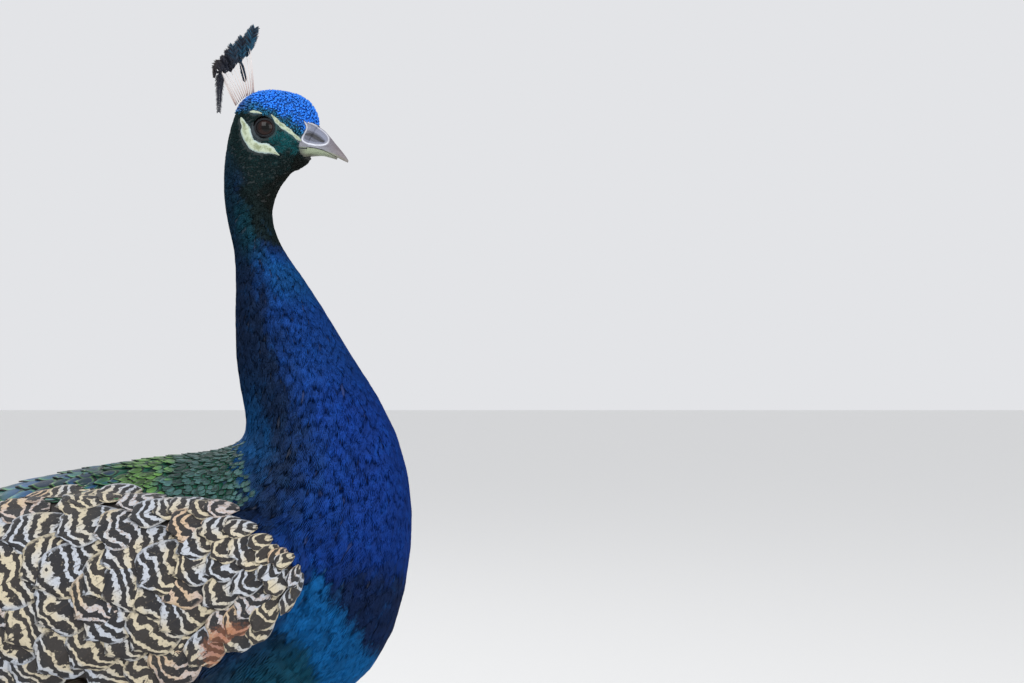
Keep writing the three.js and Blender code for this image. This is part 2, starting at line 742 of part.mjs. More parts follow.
function place(name, body, material) {
  const mesh = body.getMesh();
  const geometry = new THREE.BufferGeometry();
  geometry.setAttribute("position", new THREE.BufferAttribute(mesh.vertProperties, 3));
  geometry.setIndex(new THREE.BufferAttribute(mesh.triVerts, 1));
  geometry.computeVertexNormals();
  const node = new THREE.Mesh(geometry, material);
  node.name = name;
  bird.add(node);
}

const made = (table, make) =>
  Object.fromEntries(Object.entries(table).map(([name, row]) => [name, make(row)]));
const lengths = made(LENGTHS, bodyLength);
const trains = made(TRAIN_LENGTHS, trainLength);
const grownTrunk = grown(lengths.trunk);
const grownHead = grown(lengths.head);

const sockets = Object.values(SIDES).map((side) => grown(eyeball(side)));
const billUpper = billHalf(BILL_UPPER);
const billLower = cut(billHalf(BILL_LOWER), grown(billUpper), grownHead);
const chin = mound(CHIN).subtract(grown(billLower));
place("head", cut(lengths.head.add(chin), ...sockets), FINISHES.crown);
for (const name of ["neck_upper", "neck_middle", "neck_lower"]) place(name, lengths[name], FINISHES.neck);
place("trunk", lengths.trunk, FINISHES.trunk);
place("bill_upper", cut(billUpper, grownHead), FINISHES.bill);
place("bill_lower", billLower, FINISHES.bill);
place("crest", crest(grownHead), FINISHES.crest);

const trainBase = cut(trains.train_base, grownTrunk);
const tail = cut(tailFan(), grownTrunk, grown(trains.train_base), grown(trains.train_middle));
place("train_base", trainBase, FINISHES.train);
place("train_middle", trains.train_middle, FINISHES.train);
place("train_end", trainEnd(trains.train_end), FINISHES.train);
place("tail", tail, FINISHES.tail);

for (const [name, side] of Object.entries(SIDES)) {
  place(`eye_${name}`, eyeball(side), FINISHES.eye);
  const behind = [grown(trains.train_base), grown(tail)];
  const wing = cut(wingShield(side), grownTrunk, grown(lengths.neck_lower), ...behind);
  place(`wing_${name}`, wing, FINISHES.barred);
  const grownWing = grown(wingShield(side));
  const primaries = cut(wingPrimaries(side), grownWing, grownTrunk, ...behind);
  place(`primaries_${name}`, primaries, FINISHES.chestnut);
  const upperLeg = cut(thigh(side), grownTrunk, grownWing, grown(primaries));
  place(`thigh_${name}`, upperLeg, FINISHES.thigh);
  place(`shank_${name}`, cut(shank(side), grown(thigh(side)), floorBlock), FINISHES.leg);
  place(`spur_${name}`, cut(spur(side), grown(shank(side))), FINISHES.claw);
  const inTheWay = [grown(shank(side))];
  for (const [toeName, shape] of Object.entries(TOES)) {
    const grownToe = grown(toe(shape, side));
    place(`toe_${name}_${toeName}`, cut(toe(shape, side), floorBlock, ...inTheWay), FINISHES.leg);
    place(`claw_${name}_${toeName}`, cut(claw(shape, side), floorBlock, grownToe), FINISHES.claw);
    inTheWay.push(grownToe);
  }
}

// The origin is on the floor, under the middle of the whole outline.
const outline = new THREE.Box3().setFromObject(bird, true);
const middle = outline.getCenter(new THREE.Vector3());
bird.position.set(-middle.x, -middle.y, -outline.min.z);

export default bird;
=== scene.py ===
"""A life-size Indian peacock (Pavo cristatus) with its folded train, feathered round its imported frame.

The tables give millimetres in the bird's own frame: it faces +X, its right side is at -Y and it stands on
z = 0. Only the last step of making a mesh takes them to metres in the shared frame.
"""

import logging
import math
from dataclasses import dataclass
from enum import Enum
from typing import Any, Callable

import bmesh
import bpy
import numpy as np
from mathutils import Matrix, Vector
from mathutils.bvhtree import BVHTree


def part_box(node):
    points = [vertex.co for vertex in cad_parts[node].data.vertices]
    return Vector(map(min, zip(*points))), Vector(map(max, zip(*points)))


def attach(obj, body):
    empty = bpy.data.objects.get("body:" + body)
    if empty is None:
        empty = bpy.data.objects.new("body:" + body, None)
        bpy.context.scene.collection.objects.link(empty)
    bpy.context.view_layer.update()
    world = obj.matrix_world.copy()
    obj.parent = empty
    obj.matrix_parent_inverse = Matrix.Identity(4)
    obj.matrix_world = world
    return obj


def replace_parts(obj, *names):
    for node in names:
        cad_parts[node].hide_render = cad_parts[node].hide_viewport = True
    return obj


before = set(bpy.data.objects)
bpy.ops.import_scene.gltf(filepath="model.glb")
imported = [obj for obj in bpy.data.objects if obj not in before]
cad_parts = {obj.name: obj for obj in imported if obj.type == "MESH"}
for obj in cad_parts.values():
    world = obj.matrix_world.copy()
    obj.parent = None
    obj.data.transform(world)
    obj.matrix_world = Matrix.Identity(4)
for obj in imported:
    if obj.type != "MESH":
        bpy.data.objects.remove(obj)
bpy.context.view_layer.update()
LOG = logging.getLogger("peacock")
MM = 0.001
BODY = "root"
BAKE_MAP = "OFBake"
TUFT_PATCH = 0.003  # across each small tuft's place on the baking map
MAP_SHARE = 0.94  # of the baking map that a piece's roots take up
EYE_MIDDLE = (68.1, 673.0)  # x and z of both eyes
EYE_SPOT = (0.86, 0.095, 0.47)  # an eyed feather's eye: its middle and half length along it, and half width
HEAD_CLEAR = 60.0  # a distance to the side that is clear of the head
EYE_CLEAR = np.array([0.7, 0.0, 0.0])  # the feathers' roots keep off the lids more ahead of them than behind
EYE_REACH = 10.4  # how far from the eye's middle they start
SIDES = {"right": -1, "left": 1}  # the sign of Y
NECK_NODES = ("neck_upper", "neck_middle", "neck_lower")

_eye_low, _eye_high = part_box("eye_right")
ORIGIN = np.array([(_eye_low.x + _eye_high.x) / 2 - EYE_MIDDLE[0] * MM, 0.0, 0.0])

Array = np.ndarray
Colour = tuple[float, float, float]


# ------------------------------------------------------------------ numbers
def linear(red: float, green: float, blue: float) -> Colour:
    """A colour for a shader from screen values of 0 to 255."""
    shares = (np.array([red, green, blue]) / 255).astype(float)
    low = shares / 12.92
    high = ((shares + 0.055) / 1.055) ** 2.4
    return tuple(float(v) for v in np.where(shares <= 0.04045, low, high))


def smooth(value: Array, low: float, high: float) -> Array:
    """0 below low, 1 above high and a soft rise between."""
    t = np.clip((value - low) / (high - low), 0, 1)
    return t * t * (3 - 2 * t)


def below(value: Array, low: float, high: float) -> Array:
    """1 below low, 0 above high and a soft fall between."""
    return smooth(-value, -high, -low)


def band(value: Array, low: float, rise: float, fall: float, high: float) -> Array:
    """1 between rise and fall, 0 outside low and high, and soft between."""
    return smooth(value, low, rise) * below(value, fall, high)


def blend(first: Array | Colour, second: Array | Colour, share: Array) -> Array:
    """Mixes rows of numbers by a share for each row."""
    share = np.asarray(share, float)[..., None]
    return first * (1 - share) + second * share


def unit(rows: Array) -> Array:
    """Each row scaled to a length of one."""
    return rows / np.maximum(np.linalg.norm(rows, axis=-1, keepdims=True), 1e-9)


def row_at(table: Array, place: Array) -> Array:
    """Rows between the rows of a table, on a smooth curve through them.

    Args:
        table: the rows, evenly spaced in place.
        place: where to read, which need not be whole.

    Returns:
        One row for each place.
    """
    table = np.asarray(table, float)
    place = np.clip(np.atleast_1d(np.asarray(place, float)), 0, len(table) - 1)
    i = np.minimum(place.astype(int), len(table) - 2)
    t = (place - i)[:, None]
    p, q, r, s = (table[np.clip(i + k, 0, len(table) - 1)] for k in (-1, 0, 1, 2))
    return q + 0.5 * t * (r - p + t * (2 * p - 5 * q + 4 * r - s + t * (3 * (q - r) + s - p)))


def spread_over(table: tuple, count: int) -> Array:
    """So many rows, evenly over the whole of a table."""
    return row_at(np.array(table), np.linspace(0, len(table) - 1, count))


def curve(first: Array, bend: Array, last: Array, count: int) -> Array:
    """Points along a bend that is drawn towards its middle point."""
    t = np.linspace(0, 1, count)[:, None]
    return (1 - t) ** 2 * first + 2 * t * (1 - t) * bend + t ** 2 * last


def inside_by(outline: Array, points: Array) -> Array:
    """How far points are inside a closed outline, both as rows of two; negative outside it."""
    run = np.roll(outline, -1, axis=0) - outline
    off = points[..., None, :] - outline
    t = np.clip((off * run).sum(-1) / (run * run).sum(-1), 0, 1)
    away = np.linalg.norm(off - t[..., None] * run, axis=-1).min(-1)
    past = off[..., 1] >= 0
    rising = np.where(run[:, 1] == 0, 1e-9, run[:, 1])
    crossed = (past != np.roll(past, -1, axis=-1)) & (off[..., 0] < off[..., 1] / rising * run[:, 0])
    return np.where(crossed.sum(-1) % 2 == 1, away, -away)


def waves(points: Array, size: float, seed: int, count: int = 9) -> Array:
    """A soft random field over space, as a sum of waves.

    Args:
        points: where to read it, in millimetres.
        size: the waves' rough length.
        seed: fixes the waves.
        count: how many waves.

    Returns:
        Values mostly between -1 and 1.
    """
    draw = np.random.default_rng(seed)
    ways = unit(draw.normal(size=(count, 3))) * draw.uniform(0.7, 1.6, (count, 1)) * 2 * math.pi / size
    return np.sin(points @ ways.T + draw.uniform(0, 2 * math.pi, count)).sum(1) / math.sqrt(count)


# ------------------------------------------------------------------ meshes
def to_frame(points: Array) -> Array:
    """Bird millimetres as metres in the shared frame."""
    return np.asarray(points, float) * MM + ORIGIN


def from_frame(points: Array) -> Array:
    """Metres in the shared frame as bird millimetres."""
    return (np.asarray(points, float) - ORIGIN) / MM


class Kind(Enum):
    """How a value is kept on a mesh: its type and its length."""

    NUMBER = ("FLOAT", 1)
    VECTOR = ("FLOAT_VECTOR", 3)
    COLOUR = ("FLOAT_COLOR", 4)


def mark(mesh: bpy.types.Mesh, name: str, values: Array, kind: Kind) -> None:
    """Stores one value for each point of a mesh under a name."""
    values = np.asarray(values, float)
    if kind is Kind.COLOUR and values.shape[1] == 3:
        values = np.column_stack([values, np.ones(len(values))])
    key = {Kind.NUMBER: "value", Kind.VECTOR: "vector", Kind.COLOUR: "color"}[kind]
    mesh.attributes.new(name, kind.value[0], "POINT").data.foreach_set(key, values.ravel().astype(np.float32))


def object_of(name: str, mesh: bpy.types.Mesh) -> bpy.types.Object:
    """Puts a mesh in the scene as a piece that lies where its points say."""
    piece = bpy.data.objects.new(name, mesh)
    bpy.context.scene.collection.objects.link(piece)
    return piece


def mesh_of(name: str, points: Array, faces: list, in_frame: bool = True) -> bpy.types.Mesh:
    """A smooth mesh.

    Args:
        name: its name.
        points: bird millimetres, or plain numbers for a template.
        faces: rows of point numbers, counter-clockwise from outside.
        in_frame: whether the points are taken to the shared frame.

    Returns:
        The mesh, shaded smooth.
    """
    mesh = bpy.data.meshes.new(name)
    mesh.from_pydata(to_frame(points) if in_frame else points, [], [list(map(int, f)) for f in faces])
    mesh.update()
    mesh.shade_smooth()
    return mesh


@dataclass
class Shape:
    """Points and faces of a closed shape, with values that go with its points."""

    points: Array
    faces: list
    values: dict[str, Array]

    @staticmethod
    def join(shapes: list["Shape"]) -> "Shape":
        """All the shapes as one."""
        faces, start = [], 0
        for shape in shapes:
            faces += [[k + start for k in face] for face in shape.faces]
            start += len(shape.points)
        names = shapes[0].values
        return Shape(
            np.vstack([s.points for s in shapes]),
            faces,
            {n: np.concatenate([s.values[n] for s in shapes]) for n in names},
        )

    def mesh(self, name: str, in_frame: bool = True) -> bpy.types.Mesh:
        """The shape as a mesh whose values are attributes."""
        mesh = mesh_of(name, self.points, self.faces, in_frame)
        for key, values in self.values.items():
            kind = Kind.NUMBER if values.ndim == 1 else Kind.VECTOR
            mark(mesh, key, values, kind)
        return mesh


def grid_faces(rows: int, columns: int, start: int = 0, closed: bool = False) -> list:
    """Four-sided faces over a grid of points.

    Args:
        rows: how many rows of points.
        columns: how many points in a row.
        start: the number of the first point.
        closed: whether each row is a ring.

    Returns:
        The faces.
    """
    faces = []
    for i in range(rows - 1):
        for j in range(columns if closed else columns - 1):
            k = (j + 1) % columns
            faces.append([start + i * columns + j, start + i * columns + k,
                          start + (i + 1) * columns + k, start + (i + 1) * columns + j])
    return faces


def tube(path: Array, radii: Array, sides: int, up: Array | None = None) -> Shape:
    """A closed tapering tube.

    Args:
        path: the points along its middle.
        radii: its half thickness at each, as one number or as (along up, across).
        sides: how many points go round it.
        up: the way that its first thickness is measured, +Z if not given.

    Returns:
        The shape, with "along" from 0 to 1.
    """
    path = np.asarray(path, float)
    radii = np.asarray(radii, float)
    if radii.ndim == 1:
        radii = np.column_stack([radii, radii])
    run = unit(np.gradient(path, axis=0))
    upwards = np.array([0.0, 0.0, 1.0]) if up is None else np.asarray(up, float)
    side = unit(np.cross(np.broadcast_to(upwards, run.shape), run))
    rise = np.cross(run, side)
    turns = 2 * math.pi * np.arange(sides) / sides
    rings = (path[:, None] + rise[:, None] * (np.cos(turns)[:, None] * radii[:, None, :1])
             - side[:, None] * (np.sin(turns)[:, None] * radii[:, None, 1:]))
    faces = grid_faces(len(path), sides, closed=True)
    last = (len(path) - 1) * sides
    faces += [list(range(sides))[::-1], [last + k for k in range(sides)]]
    along = np.repeat(np.linspace(0, 1, len(path)), sides)
    return Shape(rings.reshape(-1, 3), faces, {"along": along})


def slab(top: Array, bottom: Array, values: dict[str, Array]) -> Shape:
    """A closed plate between two grids of points.

    Args:
        top: the outer grid, as rows by columns by 3; its rows run along and its columns to the left.
        bottom: the inner grid.
        values: named values for the grid, which both sides take.

    Returns:
        The shape.
    """
    rows, columns = top.shape[:2]
    count = rows * columns
    upper = grid_faces(rows, columns)
    lower = [[k + count for k in face[::-1]] for face in upper]
    rim = ([i * columns for i in range(rows)] + [count - columns + j for j in range(1, columns)]
           + [(i + 1) * columns - 1 for i in range(rows - 2, -1, -1)] + list(range(columns - 2, 0, -1)))
    walls = [[a, b, b + count, a + count] for a, b in zip(rim, rim[1:] + rim[:1])]
    both = {key: np.concatenate([v.reshape(count, *v.shape[2:])] * 2) for key, v in values.items()}
    return Shape(np.vstack([top.reshape(-1, 3), bottom.reshape(-1, 3)]), upper + lower + walls, both)


def solid(mesh: bpy.types.Mesh) -> bpy.types.Object:
    """Puts a mesh of closed shapes in the scene under its own name, with every face turned outwards."""
    work = bmesh.new()
    work.from_mesh(mesh)
    bmesh.ops.recalc_face_normals(work, faces=work.faces)
    work.to_mesh(mesh)
    work.free()
    return object_of(mesh.name, mesh)


# ------------------------------------------------------------------ node trees
class Value:
    """A socket that takes part in arithmetic; each operator adds a Math node."""

    def __init__(self, tree: "Tree", socket: bpy.types.NodeSocket) -> None:
        """Keeps the socket with the tree that it is in."""
        self.tree = tree
        self.socket = socket

    def _math(self, operation: str, first: Any, second: Any) -> "Value":
        """One Math node on two values."""
        node = self.tree.add("ShaderNodeMath", {"operation": operation}, {0: first, 1: second})
        return Value(self.tree, node.outputs[0])

    def __add__(self, other: Any) -> "Value":
        """self + other."""
        return self._math("ADD", self, other)

    __radd__ = __add__

    def __sub__(self, other: Any) -> "Value":
        """self - other."""
        return self._math("SUBTRACT", self, other)

    def __rsub__(self, other: Any) -> "Value":
        """other - self."""
        return self._math("SUBTRACT", other, self)

    def __mul__(self, other: Any) -> "Value":
        """self * other."""
        return self._math("MULTIPLY", self, other)

    __rmul__ = __mul__

    def __truediv__(self, other: Any) -> "Value":
        """self / other."""
        return self._math("DIVIDE", self, other)

    def __pow__(self, other: Any) -> "Value":
        """self to a power."""
        return self._math("POWER", self, other)

    def __abs__(self) -> "Value":
        """The size of the value."""
        return self._math("ABSOLUTE", self, 0.0)

    def sin(self) -> "Value":
        """Its sine."""
        return self._math("SINE", self, 0.0)

    def wrap(self) -> "Value":
        """A zigzag between 0 and 1 as the value grows by 2."""
        return self._math("PINGPONG", self, 1.0)

    def top(self, other: Any) -> "Value":
        """The greater of two values."""
        return self._math("MAXIMUM", self, other)

    def step(self, low: float, high: float) -> "Value":
        """0 below low, 1 above high and a soft rise between; falls instead where low is above high."""
        ends = (low, high, 0.0, 1.0) if low < high else (high, low, 1.0, 0.0)
        node = self.tree.add("ShaderNodeMapRange", {"interpolation_type": "SMOOTHSTEP"},
                             {0: self, 1: ends[0], 2: ends[1], 3: ends[2], 4: ends[3]})
        return Value(self.tree, node.outputs[0])


class Tree:
    """A tree of nodes, for a material or for geometry, that is built node by node."""

    def __init__(self, tree: bpy.types.NodeTree) -> None:
        """Starts with the tree empty."""
        self.tree = tree
        self.tree.nodes.clear()

    def add(self, kind: str, settings: dict[str, Any] | None = None,
            inputs: dict[int | str, Any] | None = None) -> bpy.types.Node:
        """Adds a node.

        Args:
            kind: the node's type.
            settings: what is set on the node itself, before its sockets.
            inputs: values or links of its sockets, by name or number.

        Returns:
            The node.
        """
        node = self.tree.nodes.new(kind)
        for key, value in (settings or {}).items():
            setattr(node, key, value)
        for key, value in (inputs or {}).items():
            socket = node.inputs[key]
            if isinstance(value, Value):
                value = value.socket
            if isinstance(value, bpy.types.NodeSocket):
                self.tree.links.new(value, socket)
            elif socket.type == "RGBA" and len(value) == 3:
                socket.default_value = (*value, 1.0)
            else:
                socket.default_value = value
        return node

    def named(self, name: str, output: str = "Fac") -> Value:
        """A value that the mesh carries under a name."""
        node = self.add("ShaderNodeAttribute", {"attribute_name": name})
        return Value(self, node.outputs[output])

    def parts(self, vector: Any) -> tuple[Value, Value, Value]:
        """The three numbers of a vector."""
        node = self.add("ShaderNodeSeparateXYZ", inputs={0: vector})
        return tuple(Value(self, node.outputs[k]) for k in range(3))

    def vector(self, x: Any, y: Any, z: Any) -> bpy.types.NodeSocket:
        """Three numbers as a vector."""
        return self.add("ShaderNodeCombineXYZ", inputs={0: x, 1: y, 2: z}).outputs[0]

    def mix(self, share: Any, first: Any, second: Any, how: str = "MIX") -> bpy.types.NodeSocket:
        """Two colours mixed by a share."""
        settings = {"data_type": "RGBA", "blend_type": how, "clamp_factor": True}
        return self.add("ShaderNodeMix", settings, {0: share, 6: first, 7: second}).outputs[2]

    def noise(self, where: Any, scale: float, detail: float = 2.0, warp: float = 0.0) -> Value:
        """Soft noise from 0 to 1; scale is in waves for each unit of where."""
        node = self.add("ShaderNodeTexNoise", inputs={
            "Vector": where, "Scale": scale, "Detail": detail, "Distortion": warp})
        return Value(self, node.outputs["Fac"])

    def place(self, stretch: tuple[float, float, float] = (1, 1, 1)) -> bpy.types.NodeSocket:
        """Bird millimetres of the point that is shaded, stretched along each axis."""
        spot = self.add("ShaderNodeTexCoord").outputs["Object"]
        scale = tuple(s / MM for s in stretch)
        shift = tuple(-o * s for o, s in zip(ORIGIN, scale))
        return self.add("ShaderNodeMapping", inputs={0: spot, 1: shift, 3: scale}).outputs[0]


@dataclass(frozen=True)
class Finish:
    """A surface finish. Each kind says what its colour, roughness and relief are."""

    name: str
    roughness: float = 0.5
    metallic: float = 0.0
    coat: float = 0.0
    sheen: float = 0.0
    shine: float = 0.5  # the level of the plain reflection
    relief: float = 0.0  # millimetres of bump

    def look(self, tree: Tree) -> dict[str, Any]:
        """What changes over the surface: Base Color, Roughness, Metallic and Height."""
        raise NotImplementedError

    def material(self) -> bpy.types.Material:
        """The finish as a material, made once."""
        made = bpy.data.materials.get(self.name)
        if made:
            return made
        made = bpy.data.materials.new(self.name)
        made.use_nodes = True
        tree = Tree(made.node_tree)
        look = self.look(tree)
        height = look.pop("Height", None)
        fixed = {"Roughness": self.roughness, "Metallic": self.metallic, "Coat Weight": self.coat,
                 "Coat Roughness": 0.08, "Sheen Weight": self.sheen, "Sheen Roughness": 0.4,
                 "Specular IOR Level": self.shine}
        shader = tree.add("ShaderNodeBsdfPrincipled", inputs=fixed | look)
        if height is not None:
            bump = tree.add("ShaderNodeBump", inputs={"Height": height, "Distance": self.relief * MM})
            tree.tree.links.new(bump.outputs[0], shader.inputs["Normal"])
        out = tree.add("ShaderNodeOutputMaterial")
        tree.tree.links.new(shader.outputs[0], out.inputs[0])
        return made

    def dress(self, piece: bpy.types.Object) -> bpy.types.Object:
        """Gives a piece this finish."""
        piece.data.materials.clear()
        piece.data.materials.append(self.material())
        return piece


# ------------------------------------------------------------------ the bird's course
class Course:
    """The bird from its bill's root over the head, down the neck and along the trunk, as rings across it.

    Each ring has an upper and a lower point and half a width. A place counts the rings, so that 0 is the
    bill's root, HEAD_END the end of the head, 10.5 the foot of the neck and 18 the rump.
    """

    HEAD_END = 4.25
    RINGS = np.array([
        # upper x, z    lower x, z    half width
        [109.0, 677.6, 97.5, 651.0, 8.6],
        [96.4, 698.8, 87.5, 639.5, 15.8],
        [71.0, 704.3, 79.5, 629.0, 19.2],
        [48.0, 695.0, 74.8, 619.5, 19.2],
        [38.0, 670.0, 72.6, 609.5, 18.4],
        [33.0, 637.0, 73.6, 599.0, 18.6],
        [35.5, 603.0, 79.0, 585.0, 19.6],
        [42.0, 570.0, 91.0, 567.0, 22.3],
        [41.5, 527.0, 113.5, 534.0, 29.6],
        [43.0, 484.0, 145.0, 484.0, 41.0],
        [49.0, 448.0, 173.0, 433.0, 54.0],
        [42.0, 431.0, 184.5, 375.0, 66.5],
        [14.0, 425.0, 179.0, 313.0, 76.5],
        [-28.0, 420.0, 153.0, 251.0, 82.5],
        [-75.0, 412.0, 91.0, 211.0, 83.0],
        [-123.0, 401.0, 9.0, 206.0, 76.5],
        [-171.0, 384.0, -74.0, 228.0, 63.0],
        [-219.0, 363.0, -150.0, 266.0, 45.0],
        [-262.0, 340.0, -218.0, 306.0, 24.0],
    ])

    def __init__(self) -> None:
        """Works out each ring's middle, its reach and the course's length up to it."""
        upper, lower = self.RINGS[:, :2], self.RINGS[:, 2:4]
        self.middles = (upper + lower) / 2
        self.reach = np.linalg.norm(lower - upper, axis=1) / 2
        self.lengths = np.concatenate([[0], np.cumsum(np.linalg.norm(np.diff(self.middles, axis=0), axis=1))])

    def place(self, points: Array) -> Array:
        """The place of each point, from the rings that it lies between."""
        upper, lower = self.RINGS[:, :2], self.RINGS[:, 2:4]
        flat = points[:, [0, 2]]
        across = (lower - upper) / (2 * self.reach[:, None])
        off = flat[:, None] - upper[None]
        ahead = across[None, :, 0] * off[..., 1] - across[None, :, 1] * off[..., 0]
        centres = (self.middles[1:] + self.middles[:-1]) / 2
        away = np.linalg.norm(flat[:, None] - centres[None], axis=2) / (self.reach[1:] + self.reach[:-1])
        between = (ahead[:, :-1] <= 0) & (ahead[:, 1:] > 0)
        i = np.where(between, away, away + 100).argmin(1)
        row = np.arange(len(points))
        before, after = ahead[row, i], ahead[row, i + 1]
        return i + np.clip(-before / np.where(after > before, after - before, 1e9), 0, 1)

    def ring(self, place: Array) -> Array:
        """The rings at some places."""
        return row_at(self.RINGS, place)

    def height(self, points: Array, place: Array) -> Array:
        """1 at a ring's upper point, -1 at its lower one."""
        rings = self.ring(place)
        upper, lower = rings[:, :2], rings[:, 2:4]
        run = lower - upper
        return 1 - 2 * ((points[:, [0, 2]] - upper) * run).sum(1) / np.maximum((run * run).sum(1), 1e-6)

    def lie(self, points: Array, normals: Array) -> Array:
        """The way that feathers point: along the course, flat on the surface."""
        rings = self.ring(self.place(points))
        upper = unit(rings[:, :2] - rings[:, 2:4])
        way = np.column_stack([-upper[:, 1], np.zeros(len(points)), upper[:, 0]])
        return unit(way - normals * (way * normals).sum(1, keepdims=True))


COURSE = Course()


# ------------------------------------------------------------------ markings
class Markings:
    """The colours of the plumage over the head, neck and body, for the skin and the coat alike."""

    CROWN = linear(36, 128, 236)
    CROWN_REAR = linear(16, 76, 148)
    CROWN_EDGE = linear(16, 88, 118)
    FACE = linear(8, 38, 40)
    LORE = linear(12, 88, 94)
    ORBIT = linear(50, 66, 74)  # the thinly feathered skin behind the eye
    CHIN = linear(5, 14, 10)
    NOSE = linear(110, 112, 122)
    THROAT = linear(9, 30, 32)
    COLLAR = linear(8, 66, 82)
    NAPE = linear(8, 46, 68)
    # the neck's blue darkened with painted shade, for the rear side turned from the light
    NECK_REAR = linear(6, 34, 68)
    NECK_FRONT = linear(6, 60, 132)
    # the colour of a painted highlight on the front of the neck
    THROAT_GLOW = linear(8, 80, 138)
    ROYAL = linear(5, 54, 136)
    NAVY = linear(6, 34, 76)
    TURQUOISE = linear(2, 96, 160)
    TEAL = linear(6, 74, 98)
    BELLY = linear(34, 50, 54)
    VENT = linear(62, 54, 46)
    BACK = linear(14, 58, 46)
    MANTLE = linear(4, 68, 120)
    THIGH = linear(122, 108, 88)
    WING = linear(70, 64, 62)

    LORE_SPOT = (84.0, 664.0)  # before the eye
    NOSE_START = 93.0
    BACK_LINE = (56.0, 422.0, 0.42)  # above this z the back starts at this x, and leans forward below it
    BACK_TOP = (433.0, 4.0)  # above this z it draws back by this much for each millimetre
    CROWN_LINE = (45.0, 687.0, 0.0075)  # from this x back it is level at this z, and bends down ahead
    CROWN_REAR_END = (38.0, 44.0)  # x over which the crown starts
    CROWN_REAR_X = 39  # x from which its beads grow
    SHOULDER = np.array([122.0, 300.0])  # x and z in the middle of the turquoise patch before the wing
    SLANT = np.array([0.87, 0.49])  # the way across the patch, seen from the side
    FALL = np.array([0.49, -0.87])  # and the way down it

    def crown_above(self, points: Array) -> Array:
        """How far each point of the head is above the crown's lower edge."""
        start, level, bend = self.CROWN_LINE
        edge = level - bend * np.maximum(points[:, 0] - start, 0) ** 2
        return points[:, 2] - edge

    def behind(self, points: Array) -> Array:
        """How far each point is behind the line where the neck's plumage ends and the back's scales start."""
        (start, level, lean), (top, draw_back) = self.BACK_LINE, self.BACK_TOP
        z = points[:, 2]
        line = start + lean * np.maximum(level - z, 0) - draw_back * np.maximum(z - top, 0)
        return line - points[:, 0]

    def colours(self, points: Array, place: Array, height: Array, thigh: Array) -> Array:
        """The plumage's colour at some points.

        Args:
            points: bird millimetres.
            place: their places along the course.
            height: 1 at the upper side, -1 at the lower.
            thigh: 1 on the thighs, 0 elsewhere.

        Returns:
            Linear colours, as rows of three.
        """
        ragged = waves(points, 16, seed=3)
        colour = self.neck(place, (1 - height) / 2 + 0.05 * ragged)
        colour = self.body(colour, points, place, height, ragged)
        colour = self.head(colour, points, smooth(-place, -4.6, -3.9))
        colour = blend(colour, self.WING, under_wing(points).astype(float))
        return blend(colour, self.THIGH, thigh)

    def neck(self, place: Array, front: Array) -> Array:
        """The neck and breast, by the place along the course and from 0 at the nape to 1 at the throat."""
        # the rear of the neck takes the painted shade, the front its own blue
        colour = blend(self.NECK_REAR, self.NECK_FRONT, smooth(front, 0.3, 0.62))
        # painted highlight: a brighter band on the front of the neck
        glow = band(place, 6.1, 6.8, 7.1, 7.9) * smooth(front, 0.35, 0.7)
        colour = blend(colour, self.THROAT_GLOW, 0.75 * glow)
        colour = blend(colour, self.NAPE, below(place, 5.6, 7.3) * below(front, 0.2, 0.6))
        colour = blend(colour, self.THROAT, below(place, 5.6, 6.6) * smooth(front, 0.3, 0.6))
        collar = band(place, 4.7, 5.2, 6.0, 7.0) * below(np.abs(front - 0.5), 0.1, 0.3)
        colour = blend(colour, self.COLLAR, 0.8 * collar)
        colour = blend(colour, self.ROYAL, smooth(place, 8.4, 9.6) * smooth(front, 0.35, 0.8))
        return blend(colour, self.MANTLE, smooth(place, 8.4, 9.8) * below(front, 0.1, 0.32))

    def body(self, colour: Array, points: Array, place: Array, height: Array, ragged: Array) -> Array:
        """The trunk's colours over the neck's.

        Args:
            colour: what they go over.
            points: bird millimetres.
            place: their places along the course.
            height: 1 at the upper side, -1 at the lower.
            ragged: a soft random field, for the colours' edges.

        Returns:
            Linear colours, as rows of three.
        """
        x, z = points[:, 0], points[:, 2]
        colour = blend(colour, self.NAVY, smooth(place, 10.0, 11.0) * below(z + 6 * ragged, 330, 356))
        off = points[:, [0, 2]] - self.SHOULDER
        slant, fall = off @ self.SLANT, off @ self.FALL
        lower = smooth(place, 10.4, 11.0) * smooth(fall + 5 * ragged, -46, -34)
        colour = blend(colour, self.TEAL, lower * below(slant, 2, 26) * smooth(fall, -30, 20))
        patch = smooth(slant + 4 * ragged, -26, -12) * below(slant, 15, 24) * below(fall, 50, 110)
        colour = blend(colour, self.TURQUOISE, lower * patch)
        under = smooth(place, 10.5, 11.5) * below(z + 0.35 * (x - 60) + 8 * ragged, 236, 262)
        colour = blend(colour, self.BELLY, under)
        colour = blend(colour, self.VENT, smooth(place, 13.6, 15.2) * below(height, -0.3, 0.2))
        back = smooth(self.behind(points), -2, 3) * smooth(height + 0.04 * ragged, 0.5, 0.62)
        return blend(colour, self.BACK, back)

